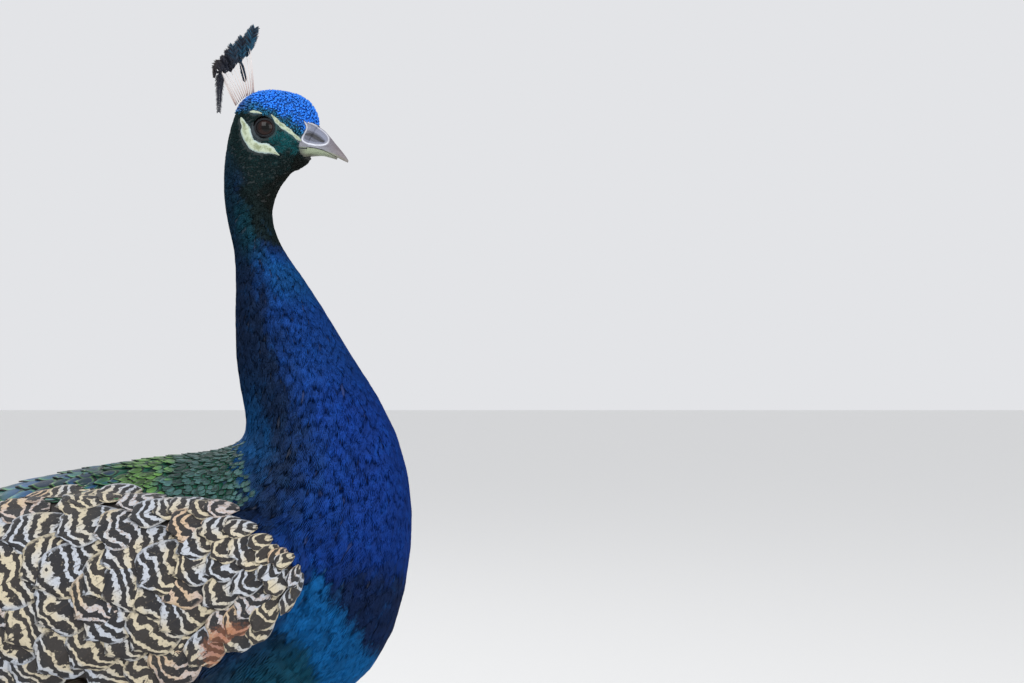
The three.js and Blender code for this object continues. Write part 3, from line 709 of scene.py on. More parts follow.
    def head(self, colour: Array, points: Array, head: Array) -> Array:
        """The head's colours over the neck's, as far as each point is on the head."""
        x, z = points[:, 0], points[:, 2]
        colour = blend(colour, self.FACE, head)
        drift = 4 * waves(points, 9, seed=6)
        lore = np.hypot(x - self.LORE_SPOT[0], z - self.LORE_SPOT[1]) + drift
        colour = blend(colour, self.LORE, head * below(lore, 6, 14))
        orbit = smooth(-x - z * 0.6 - 0.3 * drift, -467, -461) * by_eye(points, 14)
        colour = blend(colour, self.ORBIT, head * orbit)
        colour = blend(colour, self.CHIN, head * smooth(x - z + drift, -566, -552))
        above = self.crown_above(points) + 0.5 * waves(points, 5, seed=5)
        top = head * smooth(x, *self.CROWN_REAR_END)
        colour = blend(colour, self.CROWN_EDGE, top * smooth(above, -1.0, 0.4))
        colour = blend(colour, self.CROWN, top * smooth(above + drift * 0.6, 2.0, 11.0))
        rear = smooth(-x - drift, -60, -46) * smooth(above, 0, 2)
        colour = blend(colour, self.CROWN_REAR, top * rear)
        nose = (head > 0.5) & (x > self.NOSE_START)
        nose[nose] = FACE_PATCHES.covers(points[nose])
        return blend(colour, self.NOSE, nose.astype(float))


MARKINGS = Markings()


@dataclass(frozen=True)
class Plumage(Finish):
    """Feathers that take their colour from their root's marking and vary it from strand to strand."""

    streak: float = 0.4  # how much darker or lighter a strand is
    glint: Colour = (0.005, 0.14, 0.44)  # the colour of the painted glints
    glints: float = 0.35  # how much of the plumage has the painted glints

    def look(self, tree: Tree) -> dict[str, Any]:
        """Strands of lighter and darker tints, with painted shade towards the feathers' roots and painted
        glints on some strands.
        """
        marking = tree.named("marking", "Color").socket
        strand, tint = tree.named("strand"), tree.named("tint")
        along, _, _ = tree.parts(tree.named("blade", "Vector").socket)
        blotch = tree.noise(tree.place(), 0.11, 3.0, 0.6)
        shade = 1 + self.streak * (1.3 * strand + 0.5 * tint - 0.9) + 0.8 * (blotch - 0.5)
        # painted shade: each feather darker towards its root, under the feathers that overlap it
        shade = shade * (0.75 + 0.25 * along.step(0.1, 0.7))
        grey = tree.vector(shade, shade, shade)
        base = tree.mix(1.0, marking, grey, "MULTIPLY")
        # painted glints: some strands take a brighter, bluer colour as a painted highlight
        bright = (strand + tint * 0.6 + blotch * 0.8).step(1.35, 2.0) * self.glints
        glow = tree.mix(1.0, tree.mix(0.55, marking, (*self.glint, 1.0)), (1.6, 1.6, 1.6, 1.0), "MULTIPLY")
        return {"Base Color": tree.mix(bright, base, glow), "Roughness": self.roughness - 0.12 * bright}


@dataclass(frozen=True)
class BareMarkings(Finish):
    """The skin under the coat, in the coat's colours darkened with painted shade as if between feathers."""

    def look(self, tree: Tree) -> dict[str, Any]:
        """The markings, darkened as painted shade between feathers."""
        marking = tree.named("marking", "Color").socket
        fine = tree.noise(tree.place((1, 1, 0.2)), 0.9)
        # painted shade: the skin seen between the feathers is darkened
        dark = 0.35 + 0.4 * fine
        base = tree.mix(1.0, marking, tree.vector(dark, dark, dark), "MULTIPLY")
        return {"Base Color": base, "Height": fine}


def on_chin(points: Array) -> Array:
    """1 where the chin juts out under the bill, 0 elsewhere."""
    x, z = points[:, 0], points[:, 2]
    return smooth(x - z, -560, -551) * smooth(x, 87, 93) * (z > 630)


# ------------------------------------------------------------------ skin
@dataclass
class Roots:
    """Where feathers grow: one row for each."""

    at: Array
    out: Array
    lie: Array
    patch: Array  # place on the baking map
    place: Array
    height: Array
    thigh: Array

    def pick(self, keep: Array) -> "Roots":
        """The roots that a mask or a row of numbers keeps."""
        return Roots(*(getattr(self, name)[keep] for name in self.__dataclass_fields__))


OfRoots = Callable[[Roots], Array]

class Ground:
    """A closed mesh that feathers or scutes lie on, with its outward directions and its unwrap."""

    OVERLAP = 0.5  # so that neighbouring nodes run into each other

    def merged(self, name: str) -> tuple[Array, list]:
        """A CAD node's points, merged and moved out a little, and its faces."""
        work = bmesh.new()
        work.from_mesh(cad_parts[name].data)
        bmesh.ops.remove_doubles(work, verts=work.verts, dist=1e-6)
        work.normal_update()
        points = [v.co + v.normal * self.OVERLAP * MM for v in work.verts]
        faces = [[v.index for v in f.verts] for f in work.faces]
        work.free()
        return np.array(points), faces

    def remeshed(self, nodes: list[str], voxel: float) -> bpy.types.Mesh:
        """Some nodes as one closed mesh of small squares."""
        points, faces, start = [], [], 0
        for name in nodes:
            some, their = self.merged(name)
            points.append(some)
            faces += [[k + start for k in face] for face in their]
            start += len(some)
        rough = object_of("rough", mesh_of("rough", np.vstack(points), faces, in_frame=False))
        remesh = rough.modifiers.new("voxels", "REMESH")
        remesh.mode, remesh.voxel_size = "VOXEL", voxel * MM
        graph = bpy.context.evaluated_depsgraph_get()
        mesh = bpy.data.meshes.new_from_object(rough.evaluated_get(graph), depsgraph=graph)
        bpy.data.objects.remove(rough)
        return mesh

    @staticmethod
    def points_of(mesh: bpy.types.Mesh) -> Array:
        """A mesh's points, in bird millimetres."""
        flat = np.empty(len(mesh.vertices) * 3)
        mesh.vertices.foreach_get("co", flat)
        return from_frame(flat.reshape(-1, 3))

    @staticmethod
    def move(mesh: bpy.types.Mesh, points: Array) -> Array:
        """Moves a mesh's points and gives its outward directions."""
        mesh.vertices.foreach_set("co", to_frame(points).ravel())
        mesh.update()
        flat = np.empty(len(mesh.vertices) * 3)
        mesh.vertex_normals.foreach_get("vector", flat)
        return flat.reshape(-1, 3)

    @staticmethod
    def relaxed(mesh: bpy.types.Mesh, weight: Array | float, passes: int) -> Array:
        """A mesh's points with the facets smoothed away, by a weight for each."""
        points = Ground.points_of(mesh)
        edges = np.empty(len(mesh.edges) * 2, int)
        mesh.edges.foreach_get("vertices", edges)
        ends = np.concatenate([edges.reshape(-1, 2), edges.reshape(-1, 2)[:, ::-1]])
        count = np.bincount(ends[:, 0], minlength=len(points))[:, None]
        for _ in range(passes):
            columns = [np.bincount(ends[:, 0], points[ends[:, 1], k], len(points)) for k in range(3)]
            points = points + weight * (np.stack(columns, 1) / np.maximum(count, 1) - points)
        return points

    def hold(self, mesh: bpy.types.Mesh, points: Array) -> None:
        """Keeps a mesh of squares, and marks its outward directions on it."""
        self.points, self.normals = points, self.move(mesh, points)
        mesh.shade_smooth()
        corners = np.empty(len(mesh.loops), int)
        mesh.loops.foreach_get("vertex_index", corners)
        self.faces = corners.reshape(-1, 4)
        self.tree = BVHTree.FromPolygons(points.tolist(), self.faces.tolist())
        mark(mesh, "out", self.normals, Kind.VECTOR)

    def unwrap(self, mesh: bpy.types.Mesh, maps: Array) -> None:
        """Keeps the unwrap, in millimetres at each face's corners, and fits it to the mesh's own map."""
        self.face_maps = maps
        low = maps.reshape(-1, 2).min(0)
        reach = (maps.reshape(-1, 2).max(0) - low).max()
        mesh.uv_layers.new(name=BAKE_MAP).data.foreach_set("uv", ((maps - low) / reach).reshape(-1))

    def land(self, origin: Array, way: Array) -> tuple[Array, Array] | None:
        """Where a ray meets it: the point and the outward direction there."""
        spot, normal, _, _ = self.tree.ray_cast(Vector(origin), Vector(way))
        return None if spot is None else (np.array(spot), np.array(normal))

    def beside(self, x: float, z: float, sign: int, far: float = HEAD_CLEAR) -> tuple[Array, Array] | None:
        """Where a level ray from one side, and from so far out, meets it."""
        return self.land(np.array([x, sign * far, z]), np.array([0.0, -sign, 0.0]))

    def roots_from(self, points: Array, ways: Array) -> Roots:
        """Roots on it nearest to some points.

        Args:
            points: bird millimetres.
            ways: the way each feather points, before it is laid flat.

        Returns:
            The roots, in the same order.
        """
        found = [self.tree.find_nearest(Vector(p)) for p in points]
        face = np.array([f[2] for f in found])
        out = unit(self.normals[self.faces[face]].mean(1))
        flat = unit(ways - out * (ways * out).sum(1, keepdims=True))
        none, patch = np.zeros(len(face)), self.face_maps[face].mean(1)
        return Roots(np.array([f[0] for f in found]), out, flat, patch, none, none, none)


@dataclass
class Skin(Ground):
    """One skin over the head, neck, trunk, wings and thighs, inside the CAD by the coat's depth."""

    voxel: float = 2.4
    passes: int = 14
    keep_head: float = 0.25  # how much of the smoothing the head gets
    depth_places: tuple = (0, 3.5, 5, 8, 10.5, 12, 18)
    depths: tuple = (1.1, 1.1, 1.6, 2.6, 4.2, 5.0, 5.0)
    thigh_depth: float = 4.0
    thigh_top: float = 217.0
    thigh_blend: float = 18.0
    hock: tuple = (158, 195)  # z over which the thigh's depth comes in
    chin_less: float = 1.3  # how much less deep it lies where the chin juts out
    slack: float = 1.22  # of the spacing: the cells that hold one root each
    cell: float = 1.12  # from one size of cell to the next

    def nodes(self) -> list[str]:
        """The CAD nodes that the skin stands for."""
        limbs = [f"{part}_{side}" for side in SIDES for part in ("wing", "primaries", "thigh")]
        return ["head", *NECK_NODES, "trunk", *limbs]

    def on_thigh(self, points: Array) -> Array:
        """1 on the thighs below the trunk, 0 elsewhere."""
        return smooth(self.thigh_top - points[:, 2], 0, self.thigh_blend)

    def build(self) -> bpy.types.Object:
        """Makes the skin and keeps what the feathers need of it."""
        mesh = self.remeshed(self.nodes(), self.voxel)
        head = smooth(COURSE.place(self.points_of(mesh)), 3.5, 5.5)[:, None]
        points = self.relaxed(mesh, 0.5 * (self.keep_head + (1 - self.keep_head) * head), self.passes)
        normals = self.move(mesh, points)
        depth = np.interp(COURSE.place(points), self.depth_places, self.depths)
        depth *= 1 - self.chin_less * on_chin(points)
        self.thigh = self.on_thigh(points)
        hock = self.thigh_depth * smooth(points[:, 2], *self.hock)
        points = points - normals * (depth + (hock - depth) * self.thigh)[:, None]
        self.hold(mesh, points)
        self.place = COURSE.place(points)
        self.height = COURSE.height(points, self.place)
        colours = MARKINGS.colours(points, self.place, self.height, self.thigh)
        mark(mesh, "marking", colours, Kind.COLOUR)
        self.unwrap(mesh, self.unwrapped())
        mesh.name = "skin"
        self.piece = object_of("skin", mesh)
        BareMarkings("bare_markings", roughness=0.7, relief=0.4).dress(self.piece)
        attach(self.piece, BODY)
        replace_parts(self.piece, *self.nodes())
        return self.piece

    def unwrapped(self) -> Array:
        """Each face's corners on the skin's own unwrap.

        The body is slit along its underside and laid flat round its course; each thigh is a chart of its own.

        Returns:
            Places on the map, as faces by corners by 2.
        """
        rings = COURSE.ring(self.place)
        reach = np.linalg.norm(rings[:, :2] - rings[:, 2:4], axis=1) / 2
        turn = np.arctan2(self.points[:, 1] / rings[:, 4], self.height)
        run = np.interp(self.place, np.arange(len(COURSE.lengths)), COURSE.lengths)
        body = np.column_stack([turn * (reach + rings[:, 4]) / 2, run + 20])
        side = np.sign(self.points[self.faces, 1].mean(1))[:, None]
        maps = body[self.faces]
        wrapped = np.abs(turn[self.faces]) > math.pi / 2
        maps[..., 0] = np.where(wrapped, np.abs(maps[..., 0]) * side, maps[..., 0])
        x, y, z = self.points.T
        middle = np.array([COURSE.RINGS[14, 0] + 45, 50.0])
        leg_turn = np.arctan2(np.abs(y) - middle[1], x - middle[0] - 0.35 * (z - 200))
        leg = np.column_stack([np.sign(y) * (330 + 30 * leg_turn), 20 + (z - 140)])
        on_leg = (self.thigh[self.faces].mean(1) > 0.5)[:, None, None]
        return np.where(on_leg, leg[self.faces], maps)

    def scatter(self, spacing: OfRoots, region: OfRoots, seed: int) -> Roots:
        """Roots spread evenly over a region of the skin.

        Args:
            spacing: how far apart they are, for some roots.
            region: which roots are in the region.
            seed: fixes the places.

        Returns:
            The roots.
        """
        draw = np.random.default_rng(seed)
        corners = self.points[self.faces]
        middle = self.roots_at(np.arange(len(self.faces)), np.full((len(self.faces), 2), 0.5))
        slopes = np.cross(corners[:, 2] - corners[:, 0], corners[:, 3] - corners[:, 1])
        area = np.linalg.norm(slopes, axis=1) / 2
        wanted = np.where(region(middle), area / spacing(middle) ** 2, 0)
        count = int(wanted.sum() * 6)
        face = draw.choice(len(self.faces), count, p=wanted / wanted.sum())
        roots = self.roots_at(face, draw.random((count, 2)))
        roots = roots.pick(region(roots))
        level = np.round(np.log(spacing(roots) * self.slack) / math.log(self.cell))
        cells = np.floor(roots.at / (self.cell ** level)[:, None]).astype(int)
        _, first = np.unique(np.column_stack([level.astype(int), cells]), axis=0, return_index=True)
        return roots.pick(np.sort(first))

    def roots_at(self, face: Array, inside: Array) -> Roots:
        """Roots at some places inside some faces."""
        u, v = inside[:, 0, None], inside[:, 1, None]
        shares = np.stack([(1 - u) * (1 - v), u * (1 - v), u * v, (1 - u) * v])
        corners = self.faces[face]

        def mixed(values: Array) -> Array:
            """The corners' values at the places."""
            rows = values[corners].reshape(len(face), 4, -1)
            return sum(shares[k] * rows[:, k] for k in range(4))

        at, out = mixed(self.points), unit(mixed(self.normals))
        patch = sum(shares[k] * self.face_maps[face][:, k] for k in range(4))
        return Roots(at, out, COURSE.lie(at, out), patch, mixed(self.place)[:, 0], mixed(self.height)[:, 0],
                     mixed(self.thigh)[:, 0])


# ------------------------------------------------------------------ feathers
class Form(Enum):
    """The shapes of feather that the coats are made of."""

    BEAD = "curled bead"
    WISP = "three strands"
    FAN = "five strands"
    SCALE = "rounded scale"
    VANE = "broad vane"
    FROND = "loose barbs along a shaft"
    EYED = "loose barbs and an eye"


class Forms:
    """One mesh of each form, of length and width 1, for the coats to repeat.

    Each carries "blade", which is the place along it, across it from -1 to 1 and up through it, and "strand",
    a random number for each of its strands.
    """

    GOLDEN = 0.618  # the step from one seemingly random share to the next
    BARB_PAIRS = 19  # along a frond
    TIP_BARBS = 15  # round a frond's end
    HALVES = (0.012, 0.016, 0.02)  # half the width of a frond's shaft, barbs and end barbs
    FISHTAIL = 0.92  # where the shaft of a frond without an eye ends
    DISC_RISE = 0.8  # of an eye over the barbs

    def __init__(self) -> None:
        """Nothing is made until it is asked for."""
        self.made: dict[Form, bpy.types.Object] = {}

    @staticmethod
    def strand(root: float, tip: Array, half: float, rings: tuple, tone: float) -> Shape:
        """One closed sliver with a ridge, from its root to its pointed tip.

        Args:
            root: how far to the side it starts.
            tip: where it ends, along and across.
            half: half its greatest width.
            rings: pairs of place along it and share of its width.
            tone: its random number.

        Returns:
            The shape.
        """
        points, blades = [[0.0, root, 0.5]], [[0.0, 2 * root, 0.5]]
        for place, share in rings:
            x, y = tip[0] * place, root + (tip[1] - root) * place ** 0.8
            for side, rise in ((-1, 0.0), (0, 1.0), (1, 0.0)):
                points.append([x, y + side * half * share, rise])
                blades.append([x, 2 * (y + side * half * share), rise])
        points.append([tip[0], tip[1], 0.5])
        blades.append([tip[0], 2 * tip[1], 0.5])
        last = len(points) - 1
        faces = [[0, 1, 2], [0, 2, 3], [0, 3, 1]]
        for k in range(len(rings) - 1):
            a = 1 + 3 * k
            faces += [[a, a + 3, a + 4, a + 1], [a + 1, a + 4, a + 5, a + 2], [a + 2, a + 5, a + 3, a]]
        faces += [[last, last - 2, last - 3], [last, last - 1, last - 2], [last, last - 3, last - 1]]
        values = {"blade": np.array(blades), "strand": np.full(len(points), tone)}
        return Shape(np.array(points), faces, values)

    def fan(self, strands: int, spread: float, width: float) -> Shape:
        """Strands that fan out from a root.

        Args:
            strands: how many there are.
            spread: how far apart the outer tips are.
            width: each strand's width.

        Returns:
            The shape.
        """
        shapes = []
        for k in range(strands):
            side = 2 * k / (strands - 1) - 1
            tip = np.array([1 - 0.22 * side * side - 0.07 * (k % 2), spread / 2 * side])
            tone = (0.37 + self.GOLDEN * k * 1.7) % 1
            shapes.append(self.strand(0.12 * side, tip, width / 2, ((0.35, 0.9), (0.72, 0.8)), tone))
        return Shape.join(shapes)

    def bead(self) -> Shape:
        """A small closed bud, rounded and humped towards its tip."""
        places = np.array([0.0, 0.3, 0.7, 0.95])
        path = np.column_stack([places, np.zeros(4), 0.35 + 0.3 * places])
        return self.round_form(path, np.array([0.18, 0.42, 0.48, 0.22]), 6)

    @staticmethod
    def round_form(path: Array, radii: Array, sides: int) -> Shape:
        """A closed rounded form along a path."""
        shape = tube(path, np.column_stack([radii, radii]), sides)
        blade = np.column_stack([shape.points[:, 0], 2 * shape.points[:, 1], shape.points[:, 2]])
        return Shape(shape.points, shape.faces, {"blade": blade, "strand": np.full(len(blade), 0.5)})

    @staticmethod
    def vane(rows: int, columns: int, blunt: float, widest: float, camber: float, fringe: float) -> Shape:
        """A closed thin vane with a rounded end.

        Args:
            rows: points along it.
            columns: points across it.
            blunt: how square its end is; 0.5 is round.
            widest: where along it it is widest.
            camber: how much its middle stands above its edges.
            fringe: how ragged its end is.

        Returns:
            The shape.
        """
        along = np.linspace(0, 1, rows) ** 0.85
        across = np.linspace(-1, 1, columns)
        before = np.sin(np.clip(along / widest, 0, 1) * math.pi / 2) ** 0.7
        after = np.clip(1 - np.clip((along - widest) / (1 - widest), 0, 1) ** 2.2, 0, 1) ** blunt
        half = np.maximum(np.where(along < widest, 0.25 + 0.75 * before, after), 0.16) / 2
        x = along[:, None] * (1 - 0.1 * across[None] ** 2 * along[:, None])
        x = x - fringe * (np.arange(columns)[None] % 2) * smooth(along, 0.8, 1.0)[:, None]
        y = half[:, None] * across[None]
        rise = 1 - camber * across[None] ** 2 + 0 * x
        top = np.stack([x, y, rise], -1)
        bottom = np.stack([x, y, rise - 0.5 - 0.3 * (1 - across[None] ** 2)], -1)
        blade = np.stack([x, 0 * x + across[None], rise], -1)
        shape = slab(top, bottom, {"blade": blade, "strand": np.full(x.shape, 0.5)})
        shape.values["blade"][:, 2] = shape.points[:, 2]
        return shape

    @staticmethod
    def barb(start: tuple, tip: tuple, half: float, tone: float) -> Shape:
        """One closed thin barb between two points, thickest before its middle."""
        start, tip = np.array(start), np.array(tip)
        side = unit(np.array([[start[1] - tip[1], (tip[0] - start[0]) * 0.4]]))[0] * half
        middle = start + (tip - start) * 0.4 + np.array([0.012, 0.0])
        flat = [start, middle - side, middle + side, middle, tip]
        points = np.column_stack([flat, [0.2, 0.2, 0.2, 0.9, 0.4]])
        faces = [[0, 1, 3], [0, 3, 2], [0, 2, 1], [4, 3, 1], [4, 2, 3], [4, 1, 2]]
        blade = points * np.array([1, 2, 1])
        return Shape(points, faces, {"blade": blade, "strand": np.full(5, tone)})

    def frond(self, eyed: bool) -> Shape:
        """A shaft with loose barbs on both sides, ending in an eye or in a fishtail."""
        (middle, long, wide), (shaft, each, end) = EYE_SPOT, self.HALVES
        last = middle if eyed else self.FISHTAIL
        shapes = [self.barb((0.0, 0.0), (last, 0.0), shaft, 0.9)]
        for k, x in enumerate(np.linspace(0.02, last - 0.1, self.BARB_PAIRS)):
            for side in (-1, 1):
                reach = 0.36 + 0.13 * ((self.GOLDEN * (2 * k + side)) % 1)
                shapes.append(self.barb((x, 0.0), (min(x + 0.17, 1.0), side * reach), each, (0.37 * k) % 1))
        for k, turn in enumerate(np.linspace(-2.0, 2.0, self.TIP_BARBS)):
            if eyed:
                tip = (middle + (1 - middle) * math.cos(turn), 0.45 * math.sin(turn))
                start = (middle - 0.4 * long, 0.2 * tip[1])
            else:
                tip = (0.93 + 0.035 * abs(turn), 0.21 * turn)
                start = (last - 0.16 + 0.03 * abs(turn), 0.0)
            shapes.append(self.barb(start, tip, end, (0.53 * k) % 1))
        if eyed:
            disc = self.vane(6, 5, 0.5, 0.5, 0.3, 0.0)
            x = middle + long * (2 * disc.points[:, 0] - 1)
            points = np.column_stack([x, disc.points[:, 1] * wide, disc.points[:, 2] + self.DISC_RISE])
            blade = points * np.array([1, 2, 1])
            shapes.append(Shape(points, disc.faces, {"blade": blade, "strand": np.full(len(points), -1.0)}))
        return Shape.join(shapes)

    def of(self, form: Form) -> bpy.types.Object:
        """The object that a coat repeats for a form."""
        if form not in self.made:
            shape = {
                Form.BEAD: self.bead,
                Form.WISP: lambda: self.fan(3, 0.62, 0.3),
                Form.FAN: lambda: self.fan(5, 0.86, 0.2),
                Form.SCALE: lambda: self.vane(5, 5, 0.5, 0.55, 0.55, 0.0),
                Form.VANE: lambda: self.vane(9, 9, 0.42, 0.68, 0.5, 0.03),
                Form.FROND: lambda: self.frond(False),
                Form.EYED: lambda: self.frond(True),
            }[form]()
            self.made[form] = solid(shape.mesh(f"form_{form.name.lower()}", in_frame=False))
        return self.made[form]

    def clear(self) -> None:
        """Takes the forms out of the scene."""
        for form in self.made.values():
            bpy.data.objects.remove(form)
        self.made.clear()


FORMS = Forms()


@dataclass(frozen=True)
class Laying:
    """How feathers are planted."""

    turn: float  # the greatest random turn about the root, in radians
    seed: int
    patch: float = 0.0  # across each one's place on the baking map, in millimetres, if it is a large one
    hug: float = 1.0  # how closely the tips follow the skin


class Planting:
    """The geometry tree that sets a feather on every root and lays it along the skin.

    The points carry "out" and "lie", "size" (length, width and thickness), "poise" (how high the root and the
    tip are over the skin), "patch", "marking", "tint" and "turn".
    """

    INPUTS = (("Skin", "NodeSocketObject"), ("Feather", "NodeSocketObject"), ("Finish", "NodeSocketMaterial"),
              ("Turn", "NodeSocketFloat"), ("Patch", "NodeSocketFloat"), ("Hug", "NodeSocketFloat"),
              ("Seed", "NodeSocketInt"))
    HIDDEN = ("out", "lie", "poise", "turn", "patch")

    def __init__(self) -> None:
        """Builds the tree."""
        self.group = bpy.data.node_groups.new("planting", "GeometryNodeTree")
        face = self.group.interface
        face.new_socket("Geometry", in_out="INPUT", socket_type="NodeSocketGeometry")
        self.keys = {name: face.new_socket(name, in_out="INPUT", socket_type=kind).identifier
                     for name, kind in self.INPUTS}
        face.new_socket("Geometry", in_out="OUTPUT", socket_type="NodeSocketGeometry")
        tree = Tree(self.group)
        given = tree.add("NodeGroupInput").outputs
        on_roots = self.instances(tree, given)
        laid = self.laid(tree, given, on_roots)
        mapped = self.mapped(tree, given, laid)
        dressed = tree.add("GeometryNodeSetMaterial",
                           inputs={"Geometry": mapped, "Material": given["Finish"]})
        tree.add("NodeGroupOutput", inputs={0: dressed.outputs[0]})

    @staticmethod
    def field(tree: Tree, name: str, kind: str = "FLOAT_VECTOR") -> bpy.types.NodeSocket:
        """A value that the points carry."""
        return tree.add("GeometryNodeInputNamedAttribute", {"data_type": kind}, {"Name": name}).outputs[0]

    @staticmethod
    def stock(tree: Tree, given: bpy.types.NodeSocket) -> bpy.types.NodeSocket:
        """The shape of an object that is given."""
        node = tree.add("GeometryNodeObjectInfo", {"transform_space": "ORIGINAL"}, {"Object": given})
        return node.outputs["Geometry"]

    @staticmethod
    def shifted(tree: Tree, start: Any, way: Any, far: Any) -> bpy.types.NodeSocket:
        """A place, moved along a way by some share of it."""
        off = tree.add("ShaderNodeVectorMath", {"operation": "SCALE"}, {0: way, 3: far}).outputs[0]
        return tree.add("ShaderNodeVectorMath", {"operation": "ADD"}, {0: start, 1: off}).outputs[0]

    def instances(self, tree: Tree, given: Any) -> bpy.types.NodeSocket:
        """A feather on every root, turned to its lie, and realized."""
        facing = tree.add("FunctionNodeAxesToRotation", {"primary_axis": "Z", "secondary_axis": "X"},
                          {0: self.field(tree, "out"), 1: self.field(tree, "lie")})
        chance = tree.add("FunctionNodeRandomValue", {"data_type": "FLOAT"},
                          {2: -1.0, 3: 1.0, "Seed": given["Seed"]})
        turn = Value(tree, chance.outputs[1]) * Value(tree, given["Turn"])
        euler = tree.add("FunctionNodeEulerToRotation", inputs={0: tree.vector(0.0, 0.0, turn)})
        turned = tree.add("FunctionNodeRotateRotation", {"rotation_space": "LOCAL"},
                          {0: facing.outputs[0], 1: euler.outputs[0]})
        feather = self.stock(tree, given["Feather"])
        planted = tree.add("GeometryNodeInstanceOnPoints", inputs={
            "Points": given["Geometry"], "Instance": feather,
            "Rotation": turned.outputs[0], "Scale": self.field(tree, "size")})
        return tree.add("GeometryNodeRealizeInstances", inputs={0: planted.outputs[0]}).outputs[0]

    def laid(self, tree: Tree, given: Any, feathers: bpy.types.NodeSocket) -> bpy.types.NodeSocket:
        """The feathers bent to lie over the skin, each tip over the next root."""
        skin = self.stock(tree, given["Skin"])
        ground = tree.add("GeometryNodeProximity", {"target_element": "FACES"}, {0: skin})
        sampled = tree.add("GeometryNodeSampleNearestSurface", {"data_type": "FLOAT_VECTOR"},
                           {0: skin, "Value": self.field(tree, "out")})
        along, _, rise = tree.parts(self.field(tree, "blade"))
        _, _, thick = tree.parts(self.field(tree, "size"))
        low, high, _ = tree.parts(self.field(tree, "poise"))
        lift = low + (high - low) * along + rise * thick
        over = self.shifted(tree, ground.outputs["Position"], sampled.outputs[0], lift)
        here = tree.add("GeometryNodeInputPosition").outputs[0]
        hug = tree.add("ShaderNodeMix", {"data_type": "VECTOR"}, {0: given["Hug"], 4: here, 5: over})
        moved = tree.add("GeometryNodeSetPosition", inputs={0: feathers, "Position": hug.outputs[1]})
        return moved.outputs[0]

    def mapped(self, tree: Tree, given: Any, feathers: bpy.types.NodeSocket) -> bpy.types.NodeSocket:
        """The feathers with their patches on the baking map."""
        along, across, _ = tree.parts(self.field(tree, "blade"))
        wide = tree.vector(across * 0.5, along - 0.5, 0.0)
        whole = self.shifted(tree, self.field(tree, "patch"), wide, given["Patch"])
        return tree.add("GeometryNodeStoreNamedAttribute", {"data_type": "FLOAT2", "domain": "CORNER"},
                        {"Geometry": feathers, "Name": BAKE_MAP, "Value": whole}).outputs[0]

    def plant(self, name: str, roots: Roots, sizes: Array, poise: Array, form: Form, finish: Finish,
              laying: Laying, skin: bpy.types.Object, colours: Array | None = None) -> bpy.types.Object:
        """Plants one coat.

        Args:
            name: the piece's name.
            roots: where the feathers grow.
            sizes: length, width and thickness of each, in millimetres.
            poise: how high each root and tip are over the skin, in millimetres.
            form: the feather's form.
            finish: the coat's finish.
            laying: how they are planted.
            skin: what the feathers lie on.
            colours: each feather's marking, where the finish shows it.

        Returns:
            The piece, as a plain mesh.
        """
        draw = np.random.default_rng(laying.seed)
        points = bpy.data.meshes.new(name)
        points.from_pydata(to_frame(roots.at), [], [])
        mark(points, "out", roots.out, Kind.VECTOR)
        mark(points, "lie", roots.lie, Kind.VECTOR)
        mark(points, "size", sizes * MM, Kind.VECTOR)
        mark(points, "poise", np.column_stack([poise, np.zeros(len(poise))]) * MM, Kind.VECTOR)
        low = roots.patch.min(0)
        fit = MAP_SHARE / (roots.patch.max(0) - low).max()
        patch = (roots.patch - low) * fit + (1 - MAP_SHARE) / 2
        mark(points, "patch", np.column_stack([patch, np.zeros(len(patch))]), Kind.VECTOR)
        mark(points, "marking", np.ones((len(roots.at), 3)) if colours is None else colours, Kind.COLOUR)
        mark(points, "tint", draw.random(len(roots.at)), Kind.NUMBER)
        seedlings = object_of(name, points)
        modifier = seedlings.modifiers.new("planting", "NODES")
        modifier.node_group = self.group
        values = {"Turn": laying.turn, "Hug": laying.hug, "Seed": laying.seed, "Skin": skin,
                  "Patch": max(TUFT_PATCH, laying.patch * fit), "Feather": FORMS.of(form),
                  "Finish": finish.material()}
        for key, value in values.items():
            modifier[self.keys[key]] = value
        graph = bpy.context.evaluated_depsgraph_get()
        mesh = bpy.data.meshes.new_from_object(seedlings.evaluated_get(graph), preserve_all_data_layers=True,
                                               depsgraph=graph)
        bpy.data.objects.remove(seedlings)
        for hidden in self.HIDDEN:
            if hidden in mesh.attributes:
                mesh.attributes.remove(mesh.attributes[hidden])
        mesh.shade_smooth()
        mesh.name = name
        return object_of(name, mesh)


# ------------------------------------------------------------------ the small plumage
@dataclass(frozen=True)
class Coat:
    """One piece of the small plumage: its region, and its feathers' size and poise."""

    PATCH = 0.45  # across each feather's place on the baking map, for each millimetre of spacing

    name: str
    slot: str
    region: OfRoots
    spacing: OfRoots
    form: Form
    length: float  # of a feather, for each millimetre of spacing
    width: float
    thick: float
    lift: float  # of the tips, for each millimetre of spacing
    seed: int
    turn: float = 0.22
    hug: float = 1.0  # how closely the tips follow the skin
    gloss: float = 0.45
    metallic: float = 0.75
    finish: Finish | None = None

    def grow(self, planting: Planting, skin: Skin) -> bpy.types.Object:
        """Plants the coat on the skin."""
        roots = skin.scatter(self.spacing, self.region, self.seed)
        draw = np.random.default_rng(self.seed + 1)
        vary = draw.uniform(0.82, 1.18, (len(roots.at), 3))
        gap = self.spacing(roots)[:, None]
        sizes = gap * np.array([self.length, self.width, self.thick]) * vary
        poise = np.column_stack([draw.uniform(-0.35, -0.05, len(gap)), gap[:, 0] * self.lift * vary[:, 0]])
        colours = MARKINGS.colours(roots.at, roots.place, roots.height, roots.thigh)
        finish = self.finish or Plumage("plumage_" + self.slot, roughness=self.gloss, metallic=self.metallic)
        laying = Laying(self.turn, self.seed, self.PATCH * gap.mean(), self.hug)
        piece = planting.plant(self.name, roots, sizes, poise, self.form, finish, laying, skin.piece, colours)
        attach(piece, BODY)
        return piece


def stretch(low: float, high: float, where: OfRoots | None = None) -> OfRoots:
    """The plumage between two places along the course, and only where another region says."""
    return lambda roots: (roots.place > low) & (roots.place <= high) & (where is None or where(roots))


